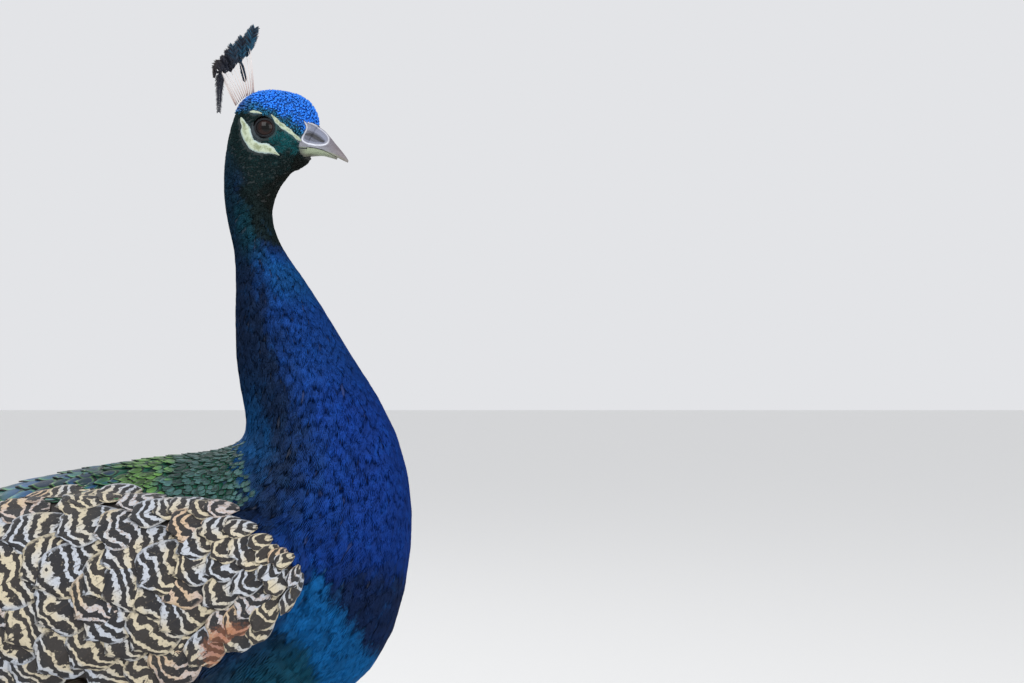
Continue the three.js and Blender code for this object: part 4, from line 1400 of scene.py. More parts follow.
def spaced(first: float, each: float = 0.0, start: float = 0.0) -> OfRoots:
    """A spacing that grows by so much for each ring of the course from a start."""
    return lambda roots: first + each * (roots.place - start)


def is_crown(roots: Roots) -> Array:
    """The crown of granular feathers."""
    head = (roots.place < Course.HEAD_END + 0.2) & (roots.at[:, 0] > MARKINGS.CROWN_REAR_X)
    return head & (MARKINGS.crown_above(roots.at) > 0) & ~FACE_PATCHES.covers(roots.at)


def by_eye(points: Array, reach: float) -> Array:
    """Whether points are within a distance of an eye, seen from the side."""
    return np.hypot(points[:, 0] - EYE_MIDDLE[0], points[:, 2] - EYE_MIDDLE[1]) < reach


def is_face(roots: Roots) -> Array:
    """The short plush of the face and chin."""
    head = roots.place < Course.HEAD_END + 0.35
    clear = by_eye(roots.at - EYE_CLEAR, EYE_REACH) | FACE_PATCHES.covers(roots.at)
    return head & (MARKINGS.crown_above(roots.at) <= 0) & ~clear


def face_spacing(roots: Roots) -> Array:
    """How far apart the face's feathers are, which is more on the neck and where the chin juts out."""
    return 1.25 + 0.25 * np.clip(roots.place - 2.5, 0, 2) + 0.9 * on_chin(roots.at)


def is_back(roots: Roots) -> Array:
    """The back and rump, which carry scale-like feathers."""
    return (MARKINGS.behind(roots.at) > 0) & (roots.height > 0.5) & (roots.thigh < 0.5)


def wing_edges(x: Array) -> tuple[Array, Array]:
    """The heights of the folded wing's upper and lower edge."""
    xs, tops, bottoms = WING_OUTLINE[::-1].T
    return np.interp(x, xs, tops), np.interp(x, xs, bottoms)


def under_wing(points: Array) -> Array:
    """Whether points are under the folded wings, seen from the side."""
    x, z = points[:, 0], points[:, 2]
    top, bottom = wing_edges(x)
    front, above, below_it, middle = WING_MARGINS
    inside = (x < WING_OUTLINE[0, 0] - front) & (x > WING_OUTLINE[-1, 0])
    return inside & (z < top - above) & (z > bottom + below_it) & (np.abs(points[:, 1]) > middle)


def on_trunk(roots: Roots) -> Array:
    """The trunk's plumage that neither the wings, the thighs nor the back's scales cover."""
    return ~is_back(roots) & ~under_wing(roots.at) & (roots.thigh < 0.5)


WING_OUTLINE = np.array([
    # x, top z, bottom z
    [107, 345, 337], [102, 353, 319], [88, 367, 297], [62, 384, 276], [22, 392, 258], [-30, 395, 249],
    [-85, 394, 247], [-140, 388, 251], [-195, 378, 259], [-250, 364, 270], [-300, 345, 284], [-346, 323, 305],
], float)


WING_MARGINS = (6, 6, 12, 25)  # the skin is bare so far in from the front, top and bottom, and off the middle


@dataclass(frozen=True)
class FacePatches:
    """The bare parts of the face, seen from the side: white bands as x, z and half width, and the nose."""

    stripe: tuple = ((73.2, 683.0, 0.4), (75.6, 680.5, 1.2), (78.5, 677.1, 1.9), (82.3, 674.0, 2.1),
                     (86.6, 670.9, 1.9), (90.5, 667.6, 1.5), (93.5, 665.0, 1.3), (95.4, 663.7, 0.8))
    brow: tuple = ((56.6, 685.3, 0.4), (59.0, 685.5, 1.0), (62.2, 685.1, 0.9), (66.0, 684.0, 0.3))
    crescent: tuple = ((49.6, 681.3, 0.5), (50.7, 678.2, 2.2), (52.9, 673.7, 3.6), (53.6, 669.5, 3.9),
                       (55.5, 664.6, 3.8), (58.8, 660.0, 4.1), (63.5, 657.6, 4.4), (68.3, 657.2, 4.1),
                       (72.6, 656.0, 2.8), (76.0, 654.0, 1.5), (79.0, 652.0, 0.3))
    rear: tuple = ((97.3, 679.2), (98.9, 675.3), (98.9, 672.6), (97.5, 669.5), (95.9, 666.5), (94.9, 664.0),
                   (94.2, 661.2), (93.6, 658.4))
    front: tuple = ((109.2, 675.8), (108.6, 673.0), (107.2, 668.8), (105.4, 664.6), (103.8, 661.4),
                    (102.4, 659.2))
    low_rear: tuple = ((93.8, 657.6), (94.4, 654.6), (95.8, 651.4))
    low_front: tuple = ((102.4, 658.1), (102.0, 655.0), (101.8, 652.3))
    clear: float = 0.9  # how far the feathers' roots keep off the white bands

    def covers(self, points: Array) -> Array:
        """Whether points are on one of the bare parts, seen from the side."""
        flat = points[:, [0, 2]]
        nose = np.array(self.rear + self.low_rear + self.low_front[::-1] + self.front[::-1])
        inside = inside_by(nose, flat) > 0.3
        for patch in (self.stripe, self.brow, self.crescent):
            rows = spread_over(patch, 40)
            away = np.linalg.norm(flat[:, None] - rows[None, :, :2], axis=2)
            inside |= (away < rows[None, :, 2] + self.clear).any(1)
        return inside


def is_mantle(roots: Roots) -> Array:
    """The small scale feathers between the neck and the back."""
    here = (MARKINGS.behind(roots.at) > -2.5) & (roots.place > 9.5) & (roots.height > 0.4)
    return here & (roots.at[:, 0] > -66) & ~under_wing(roots.at)


def mantle_spacing(roots: Roots) -> Array:
    """How far apart the mantle's feathers are, which is more towards the back."""
    return 3.9 + 0.05 * np.clip(36 - roots.at[:, 0], 0, 90)


@dataclass(frozen=True)
class Scaled(Finish):
    """The scale feathers of the back: a bright middle in a black rim, turning from green to blue along it."""

    dull: Colour = linear(66, 104, 104)
    green: Colour = linear(104, 158, 66)
    jade: Colour = linear(26, 112, 84)
    blue: Colour = linear(24, 84, 132)
    bronze: Colour = linear(126, 82, 58)
    black: Colour = linear(8, 20, 20)
    turns: tuple = (0.0, -14.0, -42.0, -56.0, -150.0, -420.0)  # x where the middles change
    scatter: float = 16.0  # how far a feather's colour may be from its neighbours'

    def look(self, tree: Tree) -> dict[str, Any]:
        """Rings round a point near the tip, in a colour that each feather keeps, with painted glints that
        leave some feathers bright and darken the rest.
        """
        along, across, _ = tree.parts(tree.named("blade", "Vector").socket)
        tint = tree.named("tint")
        x, _, _ = tree.parts(tree.place())
        far = (((along - 0.66) / 0.36) ** 2.0 + across ** 2.0) ** 0.5
        drift = x + (tint - 0.5) * self.scatter
        first, second, third, fourth, fifth, sixth = self.turns
        middle = tree.mix(drift.step(first, second) * 0.9, self.dull, self.green)
        middle = tree.mix(drift.step(third + 8, third - 8), middle, self.jade)
        base = 0.3 + 0.7 * (along + tint - 0.5).step(0.9, 0.5)
        middle = tree.mix(drift.step(third, fourth) * base, middle, self.blue)
        middle = tree.mix(drift.step(fifth, fifth - 60), middle, self.jade)
        middle = tree.mix(drift.step(fifth - 60, sixth) * (0.35 + 0.5 * tint), middle, self.bronze)
        # painted glints: feathers that catch no glint are darkened towards black as painted shade, so only
        # the glinting ones keep their bright middle
        glint = (tree.noise(tree.place(), 0.045, 2.0) + (tint * 7).wrap() * 0.5).step(0.5, 0.95)
        middle = tree.mix((1 - glint) * 0.78, middle, self.black)
        barbs = tree.noise(tree.vector(along * 6, across * 16, tint * 40), 1.0)
        middle = tree.mix((barbs - 0.3) * 0.8, middle, self.black)
        colour = tree.mix(far.step(0.66, 0.84), middle, self.black)
        rim = tree.mix(drift.step(fourth, fifth) * (1 - tint), self.jade, self.bronze)
        colour = tree.mix(far.step(0.94, 1.06) * 0.5, colour, rim)
        ring = tree.mix(drift.step(first, second), self.jade, self.green)
        colour = tree.mix(far.step(0.56, 0.64) * far.step(0.78, 0.7) * 0.4, colour, ring)
        return {"Base Color": colour, "Height": barbs}


FACE_PATCHES = FacePatches()
BACK_SCALES = Scaled("scale_feathers", roughness=0.4, metallic=0.5, relief=0.15)
CROWN_BEADS = Plumage("plumage_crown", roughness=0.32, metallic=0.5, streak=0.75, glint=(0.02, 0.3, 0.62),
                      glints=0.6)
FACE_PLUSH = Plumage("plumage_face", roughness=0.55, metallic=0.15, shine=0.2, streak=0.6,
                     glint=(0.03, 0.2, 0.2), glints=0.5)
MIDDLE_NECK, LOWER_NECK, BREAST, BELLY = 6.75, 8.75, 10.6, 13.4  # where pieces start along the course
COATS = (
    Coat("crown", "crown", is_crown, spaced(1.5), Form.BEAD, 1.35, 1.2, 0.95, 0.35, 11, turn=0.5,
         finish=CROWN_BEADS),
    Coat("face", "crown", is_face, face_spacing, Form.WISP, 2.7, 1.5, 0.3, 0.25, 12, finish=FACE_PLUSH),
    Coat("plumage_upper_neck", "neck", stretch(Course.HEAD_END, MIDDLE_NECK),
         spaced(1.9, 0.35, Course.HEAD_END), Form.FAN, 4.4, 1.6, 0.2, 0.2, 13),
    Coat("plumage_middle_neck", "neck", stretch(MIDDLE_NECK, LOWER_NECK),
         spaced(2.75, 0.3, MIDDLE_NECK), Form.FAN, 4.6, 1.55, 0.2, 0.18, 14),
    Coat("plumage_lower_neck", "neck", stretch(LOWER_NECK, BREAST, lambda roots: ~is_back(roots)),
         spaced(3.3, 0.35, LOWER_NECK), Form.FAN, 4.8, 1.55, 0.2, 0.17, 15),
    Coat("plumage_breast", "trunk", stretch(BREAST, BELLY, on_trunk),
         spaced(3.9, 0.35, BREAST), Form.FAN, 4.8, 1.6, 0.18, 0.17, 16),
    Coat("plumage_belly", "trunk", stretch(BELLY, math.inf, on_trunk),
         spaced(5.6, 0.2, BELLY), Form.FAN, 4.2, 2.0, 0.18, 0.3, 17, gloss=0.65, metallic=0.0),
    Coat("plumage_thighs", "thigh", lambda roots: roots.thigh >= 0.5, spaced(3.2), Form.FAN,
         4.4, 1.9, 0.18, 0.3, 18, hug=0.6, gloss=0.75, metallic=0.0),
    Coat("scale_feathers_mantle", "train", is_mantle, mantle_spacing,
         Form.SCALE, 2.5, 1.45, 0.12, 0.28, 19, turn=0.12, finish=BACK_SCALES),
)


# ------------------------------------------------------------------ wings
@dataclass(frozen=True)
class Barred(Finish):
    """Cream feathers with ragged charcoal bars across them and pale fringes."""

    period: float = 9.6  # millimetres from bar to bar
    charcoal: Colour = linear(28, 28, 33)
    brown: Colour = linear(58, 50, 42)
    cream: Colour = linear(212, 200, 172)
    bluish: Colour = linear(196, 202, 212)
    peach: Colour = linear(212, 172, 136)
    rust: Colour = linear(176, 106, 62)
    rust_at: tuple = (54.0, 278.0, 25.0)  # x, z and reach of the rusty feathers

    def look(self, tree: Tree) -> dict[str, Any]:
        """Bars counted back from the root, each feather's own wobble, and a hairy relief along the barbs."""
        blade, size = tree.named("blade", "Vector").socket, tree.named("size", "Vector").socket
        along, across, _ = tree.parts(blade)
        long, wide, _ = tree.parts(size)
        tint = tree.named("tint")
        length, width = along * long / MM, across * wide * (0.5 / MM)
        spot = tree.place()
        own = tree.vector(length + tint * 311, width, tint * 97)
        wobble = tree.noise(own, 0.06, 1.0) - 0.5
        teeth = (width * 0.42 + tint * 7).wrap() - 0.5
        ragged = tree.noise(own, 0.55, 2.0) - 0.5
        bow = across * across * (0.9 + 0.8 * tint)
        count = (length + 5.5 * bow) / self.period + wobble * 2.6 + teeth * 0.12 + ragged * 0.3 + tint * 5
        bars = (count * 2).wrap()
        bar = bars.step(0.34, 0.42)
        x, _, z = tree.parts(spot)
        fleck = tree.noise(spot, 0.5, 3.0)
        tone = tree.noise(own, 0.028, 1.0)
        pale = tree.mix(tone.step(0.42, 0.6), self.bluish, self.cream)
        pale = tree.mix((tint + fleck * 0.4).step(0.98, 1.2) * 0.6, pale, self.peach)
        pale = tree.mix((0.25 + fleck * 0.35) * fleck.step(0.55, 0.7), pale, self.brown)
        dark = tree.mix(tone.step(0.45, 0.62) * 0.5, self.charcoal, self.brown)
        dark = tree.mix(fleck.step(0.62, 0.75) * 0.25, dark, self.cream)
        fringe = (abs(across) + 0.25 * ragged).step(0.86, 0.98).top((along + 0.06 * ragged).step(0.93, 0.98))
        colour = tree.mix(bar * (1 - fringe * 0.85), pale, dark)
        shaft = abs(width).step(0.6, 0.2) * along.step(0.95, 0.7)
        colour = tree.mix(shaft * 0.6, colour, self.brown)
        away = (((x - self.rust_at[0]) ** 2.0 + (z - self.rust_at[1]) ** 2.0) ** 0.5) / self.rust_at[2]
        rusty = (away + 0.9 * (fleck - 0.5)).step(1.05, 0.75) * (tint + 0.35).step(0.45, 0.6)
        colour = tree.mix(rusty * 0.8 * (1 - 0.6 * bar), colour, self.rust)
        side = abs(across)
        barbs = ((length * 0.9 - side * wide * (0.45 / MM)) * 5.2).sin()
        return {"Base Color": tree.mix((barbs * 0.5 + 0.5) * 0.14, colour, self.charcoal),
                "Height": barbs * 0.5 + fleck}


@dataclass(frozen=True)
class Chestnut(Finish):
    """The rufous flight feathers, darker towards their edges."""

    middle: Colour = linear(158, 92, 52)
    edge: Colour = linear(92, 52, 34)
    shaft: Colour = linear(70, 44, 30)

    def look(self, tree: Tree) -> dict[str, Any]:
        """Streaks along the vane and a dark shaft."""
        along, across, _ = tree.parts(tree.named("blade", "Vector").socket)
        own = tree.vector(along * 40 - abs(across) * 9, across * 14, tree.named("tint") * 20)
        streak = tree.noise(own, 1.0)
        colour = tree.mix((abs(across) + streak * 0.5).step(0.7, 1.2), self.middle, self.edge)
        colour = tree.mix(abs(across).step(0.14, 0.06), colour, self.shaft)
        return {"Base Color": colour, "Height": streak}


@dataclass
class Wing:
    """One folded wing: barred scapulars and coverts over the chestnut primaries."""

    side: str
    gaps: tuple = (
        # x, and how far apart roots are
        (-346, 26.0), (-150, 25.0), (-20, 24.0), (40, 20.0), (70, 14.5), (107, 9.5),
    )
    top_gap: float = 0.62  # of the gap, along the upper edge
    length: float = 2.7
    width: float = 1.85
    thick: float = 0.5
    poise: tuple = (1.9, 5.0)
    poise_stray: tuple = (0.4, 0.7)
    turning: tuple = (-230, 0)  # x over which the rear feathers' heading becomes the front ones'
    rear_turn: tuple = (8, 4)  # degrees below straight back at the upper edge, and how many more at the lower
    front_turn: tuple = (24, 44)
    crowd: float = 0.6  # how near roots may be to each other: a share of the gap's square
    margins: tuple = (9, 8)  # how far tips may reach out past the lower edge and the rear end
    top_margins: tuple = (1, 9)  # how far roots keep off the upper edge, and off it at the narrow front
    narrow: float = 0.12  # how much narrower feathers are at the front
    seed: int = 31
    tries: int = 16000
    clear: float = 260.0  # a distance to the side that is clear of the body
    flights: int = 12
    flight_run: tuple = (-30, 215)  # x of the first one's root, and how far back the last one's is from it
    flight_length: tuple = (150, 22)  # the first one's, and how much shorter the last one is
    flight_size: tuple = (19.0, 0.8)  # width and thickness
    flight_poise: tuple = (0.6, 2.0)

    def gap(self, x: Array, z: Array) -> Array:
        """How far apart roots are, seen from the side."""
        xs, gaps = np.array(self.gaps).T
        top, _ = wing_edges(x)
        return np.interp(x, xs, gaps) * (self.top_gap + (1 - self.top_gap) * smooth(top - z, 4, 34))

    def heading(self, x: Array, z: Array) -> Array:
        """How far below straight back the feathers point, in degrees."""
        top, bottom = wing_edges(x)
        down = np.clip((top - z) / (top - bottom), 0, 1)
        front = smooth(x, *self.turning)
        rear_turn, front_turn = self.rear_turn, self.front_turn
        return ((rear_turn[0] + rear_turn[1] * down) * (1 - front)
                + (front_turn[0] + front_turn[1] * down ** 1.3) * front)

    @staticmethod
    def tip(x: Array) -> Array:
        """1 at the wing's narrow front end, 0 behind it."""
        return smooth(x, 35, 90)

    def spots(self) -> Array:
        """Where the feathers grow, as x and z seen from the side."""
        draw = np.random.default_rng(self.seed)
        xs = draw.uniform(WING_OUTLINE[-1, 0], WING_OUTLINE[0, 0], self.tries)
        top, bottom = wing_edges(xs)
        zs = bottom + (top - bottom) * draw.random(self.tries)
        gaps = self.gap(xs, zs)
        turn = np.radians(self.heading(xs, zs))
        long = gaps * self.length
        (under, behind), (over, front) = self.margins, self.top_margins
        fits = (zs - long * np.sin(turn) > bottom - under) & (zs < top - over)
        fits &= zs < top - front * self.tip(xs)
        fits &= xs - long * np.cos(turn) > WING_OUTLINE[-1, 0] - behind
        kept: list[tuple[float, float]] = []
        for x, z, gap in zip(xs[fits], zs[fits], gaps[fits]):
            if all((x - a) ** 2 + (z - b) ** 2 > gap * gap * self.crowd for a, b in kept):
                kept.append((x, z))
        return np.array(kept)

    def landed(self, skin: Skin, spots: Array, headings: Array) -> tuple[Roots, Array]:
        """Roots on the skin's side at some spots.

        Args:
            skin: the skin.
            spots: x and z of each.
            headings: degrees below straight back.

        Returns:
            The roots, and which spots met the skin.
        """
        sign = SIDES[self.side]
        found = [skin.beside(x, z, sign, self.clear) for x, z in spots]
        met = np.array([f is not None for f in found])
        at = np.array([f[0] for f in found if f is not None])
        turn = np.radians(headings[met])
        ways = np.column_stack([-np.cos(turn), np.zeros(met.sum()), -np.sin(turn)])
        return skin.roots_from(at, ways), met

    def coverts(self, planting: Planting, skin: Skin) -> bpy.types.Object:
        """The barred feathers."""
        spots = self.spots()
        roots, met = self.landed(skin, spots, self.heading(*spots.T))
        draw = np.random.default_rng(self.seed + 1)
        gap = self.gap(*spots[met].T)
        vary = draw.uniform(0.9, 1.12, (len(gap), 2))
        narrow = 1 - self.narrow * self.tip(spots[met, 0])
        sizes = np.column_stack([gap * self.length * vary[:, 0], gap * self.width * narrow * vary[:, 1],
                                 np.full(len(gap), self.thick)])
        poise = np.column_stack([height + draw.uniform(-stray, stray, len(gap))
                                 for height, stray in zip(self.poise, self.poise_stray)])
        finish = Barred("barred_feathers", roughness=0.62, relief=0.25, sheen=0.1)
        piece = planting.plant(f"coverts_{self.side}", roots, sizes, poise, Form.VANE, finish,
                               Laying(0.16, self.seed, 24.0), skin.piece)
        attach(piece, BODY)
        return piece

    def primaries(self, planting: Planting, skin: Skin) -> bpy.types.Object:
        """The chestnut flight feathers that show below and behind the coverts."""
        share = np.linspace(0, 1, self.flights)
        xs = self.flight_run[0] - self.flight_run[1] * share
        _, bottom = wing_edges(xs)
        spots = np.column_stack([xs, bottom + 4 + 4 * share])
        roots, met = self.landed(skin, spots, 12 - 12 * share)
        length = self.flight_length[0] - self.flight_length[1] * share
        sizes = np.column_stack([length, np.tile(self.flight_size, (self.flights, 1))])[met]
        poise = np.tile(self.flight_poise, (self.flights, 1))[met]
        finish = Chestnut("chestnut_feathers", roughness=0.55, relief=0.25)
        piece = planting.plant(f"flight_feathers_{self.side}", roots, sizes, poise, Form.VANE, finish,
                               Laying(0.03, 41, 24.0), skin.piece)
        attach(piece, BODY)
        return piece


# ------------------------------------------------------------------ back
@dataclass
class Back:
    """Scale feathers over the back and rump, small by the neck and growing along it."""

    sizes: tuple = ((-300, 27.0), (-150, 24.0), (-90, 20.0), (-50, 13.0))
    start: float = -50.0
    end: float = -236.0
    half: float = 74.0  # how far to the side they reach
    step: float = 0.62  # between rows, for each millimetre of width
    length: float = 1.95
    width: float = 1.3
    top: float = 600.0
    lowest: float = 300.0
    share: float = 0.42  # how high on a ring of the course they reach down to
    way: tuple = (-1.0, 0.0, -0.1)

    def size(self, x: Array) -> Array:
        """How wide a feather is at some x."""
        xs, sizes = np.array(self.sizes).T
        return np.interp(x, xs, sizes)

    def rows(self, skin: Skin) -> tuple[Array, Array]:
        """Points on the back in staggered rows, and the size of each."""
        points, sizes = [], []
        x, odd = self.start, 0
        while x > self.end:
            size = float(self.size(np.array([x]))[0])
            count = int(self.half / size)
            for k in range(-count, count + 1):
                y = (k + 0.5 * odd) * size * (1 - 0.25 * abs(k * size / self.half))
                found = skin.land(np.array([x, y, self.top]), np.array([0.0, 0.0, -1.0]))
                if found is not None and found[0][2] > self.lowest:
                    points.append(found[0])
                    sizes.append(size)
            x -= size * self.step
            odd = 1 - odd
        return np.array(points), np.array(sizes)

    def build(self, planting: Planting, skin: Skin) -> bpy.types.Object:
        """Plants them."""
        points, size = self.rows(skin)
        keep = (COURSE.height(points, COURSE.place(points)) > self.share) & ~under_wing(points)
        points, size = points[keep], size[keep]
        roots = skin.roots_from(points, np.tile(self.way, (len(points), 1)))
        draw = np.random.default_rng(51)
        vary = draw.uniform(0.93, 1.08, (len(size), 2))
        sizes = np.column_stack([size * self.length * vary[:, 0], size * self.width * vary[:, 1],
                                 0.25 + size * 0.05])
        poise = np.column_stack([np.full(len(size), 0.2), 0.9 + size * 0.12])
        piece = planting.plant("scale_feathers_back", roots, sizes, poise, Form.SCALE, BACK_SCALES,
                               Laying(0.07, 52, 11.0), skin.piece)
        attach(piece, BODY)
        return piece


# ------------------------------------------------------------------ head
@dataclass(frozen=True)
class BareSkin(Finish):
    """White bare skin, finely pimpled, with a faint green-yellow cast."""

    white: Colour = linear(182, 194, 170)
    cool: Colour = linear(170, 190, 190)
    olive: Colour = linear(120, 130, 92)

    def look(self, tree: Tree) -> dict[str, Any]:
        """Pimples, olive blotches in the middle and cooler edges."""
        spot = tree.place()
        grain, soft = tree.noise(spot, 1.6, 3.0), tree.noise(spot, 0.28)
        rim = tree.named("rim")
        colour = tree.mix(rim.step(0.5, 1.0), self.white, self.cool)
        blotch = (grain * 0.5 + soft * 0.9 - rim * 0.25).step(0.52, 0.82)
        return {"Base Color": tree.mix(blotch * 0.85, colour, self.olive), "Height": grain}


@dataclass(frozen=True)
class Lid(Finish):
    """The dark wrinkled skin of the eyelids, paler along the lower rim."""

    dark: Colour = linear(26, 28, 32)
    rim: Colour = linear(104, 98, 110)

    def look(self, tree: Tree) -> dict[str, Any]:
        """Rings of wrinkles, and the lower rim's paler colour."""
        x, _, z = tree.parts(tree.place())
        across, up = x - EYE_MIDDLE[0], z - EYE_MIDDLE[1]
        far = (across ** 2.0 + up ** 2.0) ** 0.5
        low = (across * 0.6 - up).step(0.0, 6.0)
        fold = (far * 7.5 + tree.noise(tree.place(), 0.9) * 5).sin()
        edge = far.step(8.0, 8.3) * far.step(9.1, 8.7)
        colour = tree.mix(low * edge * 0.9 + 0.05 * fold, self.dark, self.rim)
        return {"Base Color": colour, "Height": fold}


@dataclass(frozen=True)
class Eyeball(Finish):
    """A dark brown iris with a large black pupil, under a wet cornea."""

    pupil: float = 3.2  # radius
    edge: float = 6.6  # of the iris
    brown: Colour = linear(46, 22, 16)
    ring: Colour = linear(14, 8, 9)
    black: Colour = (0.002, 0.002, 0.002)

    def look(self, tree: Tree) -> dict[str, Any]:
        """Rings about the gaze, with fine spokes in the iris."""
        gaze = tree.named("gaze")
        spoke = tree.named("spoke")
        around = tree.vector((spoke * 1.0).sin() * 6, (spoke + 1.5708).sin() * 6, gaze * 0.5)
        fibre = tree.noise(around, 1.6, 3.0)
        iris = tree.mix(fibre * gaze.step(self.pupil - 0.4, self.pupil + 1.6), self.ring, self.brown)
        iris = tree.mix(gaze.step(self.edge - 1.2, self.edge), iris, self.ring)
        return {"Base Color": tree.mix(gaze.step(self.pupil + 0.2, self.pupil - 0.2), iris, self.black)}


@dataclass
class Eye:
    """An eye: the ball with its gaze to the side, and a ring of lids round it."""

    side: str
    inset: float = 11.6
    radius: float = 9.9
    forward: float = 0.16  # the gaze's lean ahead, in radians
    rings: int = 26
    around: int = 40
    lid_inner: float = 6.6
    lid_outer: float = 10.4
    lid_width: float = 0.88  # of its height: the opening is a little longer than it is high
    lid_rings: int = 9
    lid_lift: float = 0.25
    lid_roll: float = 0.55
    lid_thick: float = 1.3

    def ball(self) -> bpy.types.Object:
        """The eyeball, with rings about its gaze."""
        sign = SIDES[self.side]
        gaze = np.array([math.sin(self.forward), sign * math.cos(self.forward), 0.0])
        up = np.array([0.0, 0.0, 1.0])
        across = np.cross(gaze, up)
        turns = 2 * math.pi * np.arange(self.around) / self.around
        polar = np.linspace(0, math.pi, self.rings + 2)[1:-1]
        ring = np.cos(turns)[:, None] * across + np.sin(turns)[:, None] * up
        body = gaze * np.cos(polar)[:, None, None] + ring[None] * np.sin(polar)[:, None, None]
        points = np.vstack([body.reshape(-1, 3), gaze, -gaze]) * self.radius
        count = self.rings * self.around
        faces = grid_faces(self.rings, self.around, closed=True)
        faces += [[count, k, (k + 1) % self.around] for k in range(self.around)]
        last = count - self.around
        faces += [[count + 1, last + (k + 1) % self.around, last + k] for k in range(self.around)]
        middle = np.array([EYE_MIDDLE[0], sign * self.inset, EYE_MIDDLE[1]])
        from_gaze = np.linalg.norm(points - gaze * (points @ gaze)[:, None], axis=1)
        from_gaze = np.where(points @ gaze > 0, from_gaze, 2 * self.radius)
        spoke = np.arctan2(points @ up, points @ across)
        shape = Shape(points + middle, faces, {"gaze": from_gaze, "spoke": spoke})
        piece = solid(shape.mesh(f"eyeball_{self.side}"))
        Eyeball("eyeball", roughness=0.1, shine=0.22).dress(piece)
        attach(piece, BODY)
        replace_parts(piece, f"eye_{self.side}")
        return piece

    def lids(self, skin: Skin) -> bpy.types.Object:
        """A ring of lid skin from the ball out to the face, rolled at its inner edge."""
        sign = SIDES[self.side]
        shares = np.linspace(0, 1, self.lid_rings)
        rings = []
        for turn in 2 * math.pi * np.arange(self.around) / self.around:
            way = np.array([math.cos(turn), math.sin(turn)])
            row = []
            for share in shares:
                reach = self.lid_inner + (self.lid_outer - self.lid_inner) * share
                offset = way * reach * np.array([1.0, self.lid_width + (1 - self.lid_width) * share])
                x, z = EYE_MIDDLE + offset
                over = math.sqrt(max(self.radius ** 2 - float(offset @ offset), 0.0))
                ball = self.inset + over
                found = skin.beside(x, z, sign)
                face = abs(found[0][1]) if found is not None else 0.0
                roll = self.lid_roll * math.sin(math.pi * min(1.0, 0.15 + share * 1.6)) ** 0.8
                height = max(ball * (1 - share) + face * share, face * share, ball if share < 0.5 else 0.0)
                row.append([x, sign * (height + self.lid_lift + roll), z])
            rings.append(row)
        outer = np.array(rings)
        inner = outer - np.array([0.0, sign * self.lid_thick, 0.0])
        loop = np.concatenate([outer, inner[:, ::-1]], axis=1)
        points = loop.reshape(-1, 3)
        faces = grid_faces(self.around, loop.shape[1])
        count = loop.shape[1]
        last = (self.around - 1) * count
        faces += [[last + j, last + j + 1, j + 1, j] for j in range(count - 1)]
        faces += [[i * count + count - 1, i * count, ((i + 1) % self.around) * count,
                   ((i + 1) % self.around) * count + count - 1] for i in range(self.around)]
        piece = solid(mesh_of(f"eyelids_{self.side}", points, faces))
        Lid("eyelid_skin", roughness=0.7, shine=0.25, relief=0.12).dress(piece)
        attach(piece, BODY)
        return piece


@dataclass
class Face:
    """The bare white patches of one side of the face."""

    side: str
    height: float = 0.8  # how far they stand out over the skin
    along: int = 40
    across: int = 9

    def patch(self, skin: Skin, outline: tuple) -> Shape:
        """One closed patch that lies on the head."""
        sign = SIDES[self.side]
        rows = spread_over(outline, self.along)
        run = unit(np.gradient(rows[:, :2], axis=0))
        wiggle = 1 + 0.12 * waves(np.column_stack([rows[:, 0], 0 * rows[:, 0], rows[:, 1]]), 6, seed=8)
        top = np.zeros((self.along, self.across, 3))
        bottom = top.copy()
        for i in range(self.along):
            for j in range(self.across):
                share = 2 * j / (self.across - 1) - 1
                off = np.array([run[i, 1], -run[i, 0]]) * rows[i, 2] * share * wiggle[i]
                x, z = rows[i, :2] + off
                found = skin.beside(x, z, sign)
                at, out = found if found is not None else (np.array([x, 0, z]), np.array([0, sign, 0]))
                rise = self.height * (1 - share ** 4) + 0.15
                top[i, j] = at + out * rise
                bottom[i, j] = at - out * 0.5
        side = np.abs(np.linspace(-1, 1, self.across))
        return slab(top, bottom, {"rim": np.tile(side, (self.along, 1))})

    def build(self, skin: Skin) -> bpy.types.Object:
        """Makes the patches of one side as one piece."""
        bands = (FACE_PATCHES.stripe, FACE_PATCHES.brow, FACE_PATCHES.crescent)
        piece = solid(Shape.join([self.patch(skin, each) for each in bands]).mesh(f"bare_face_{self.side}"))
        BareSkin("bare_white_skin", roughness=0.55, relief=0.2).dress(piece)
        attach(piece, BODY)
        return piece


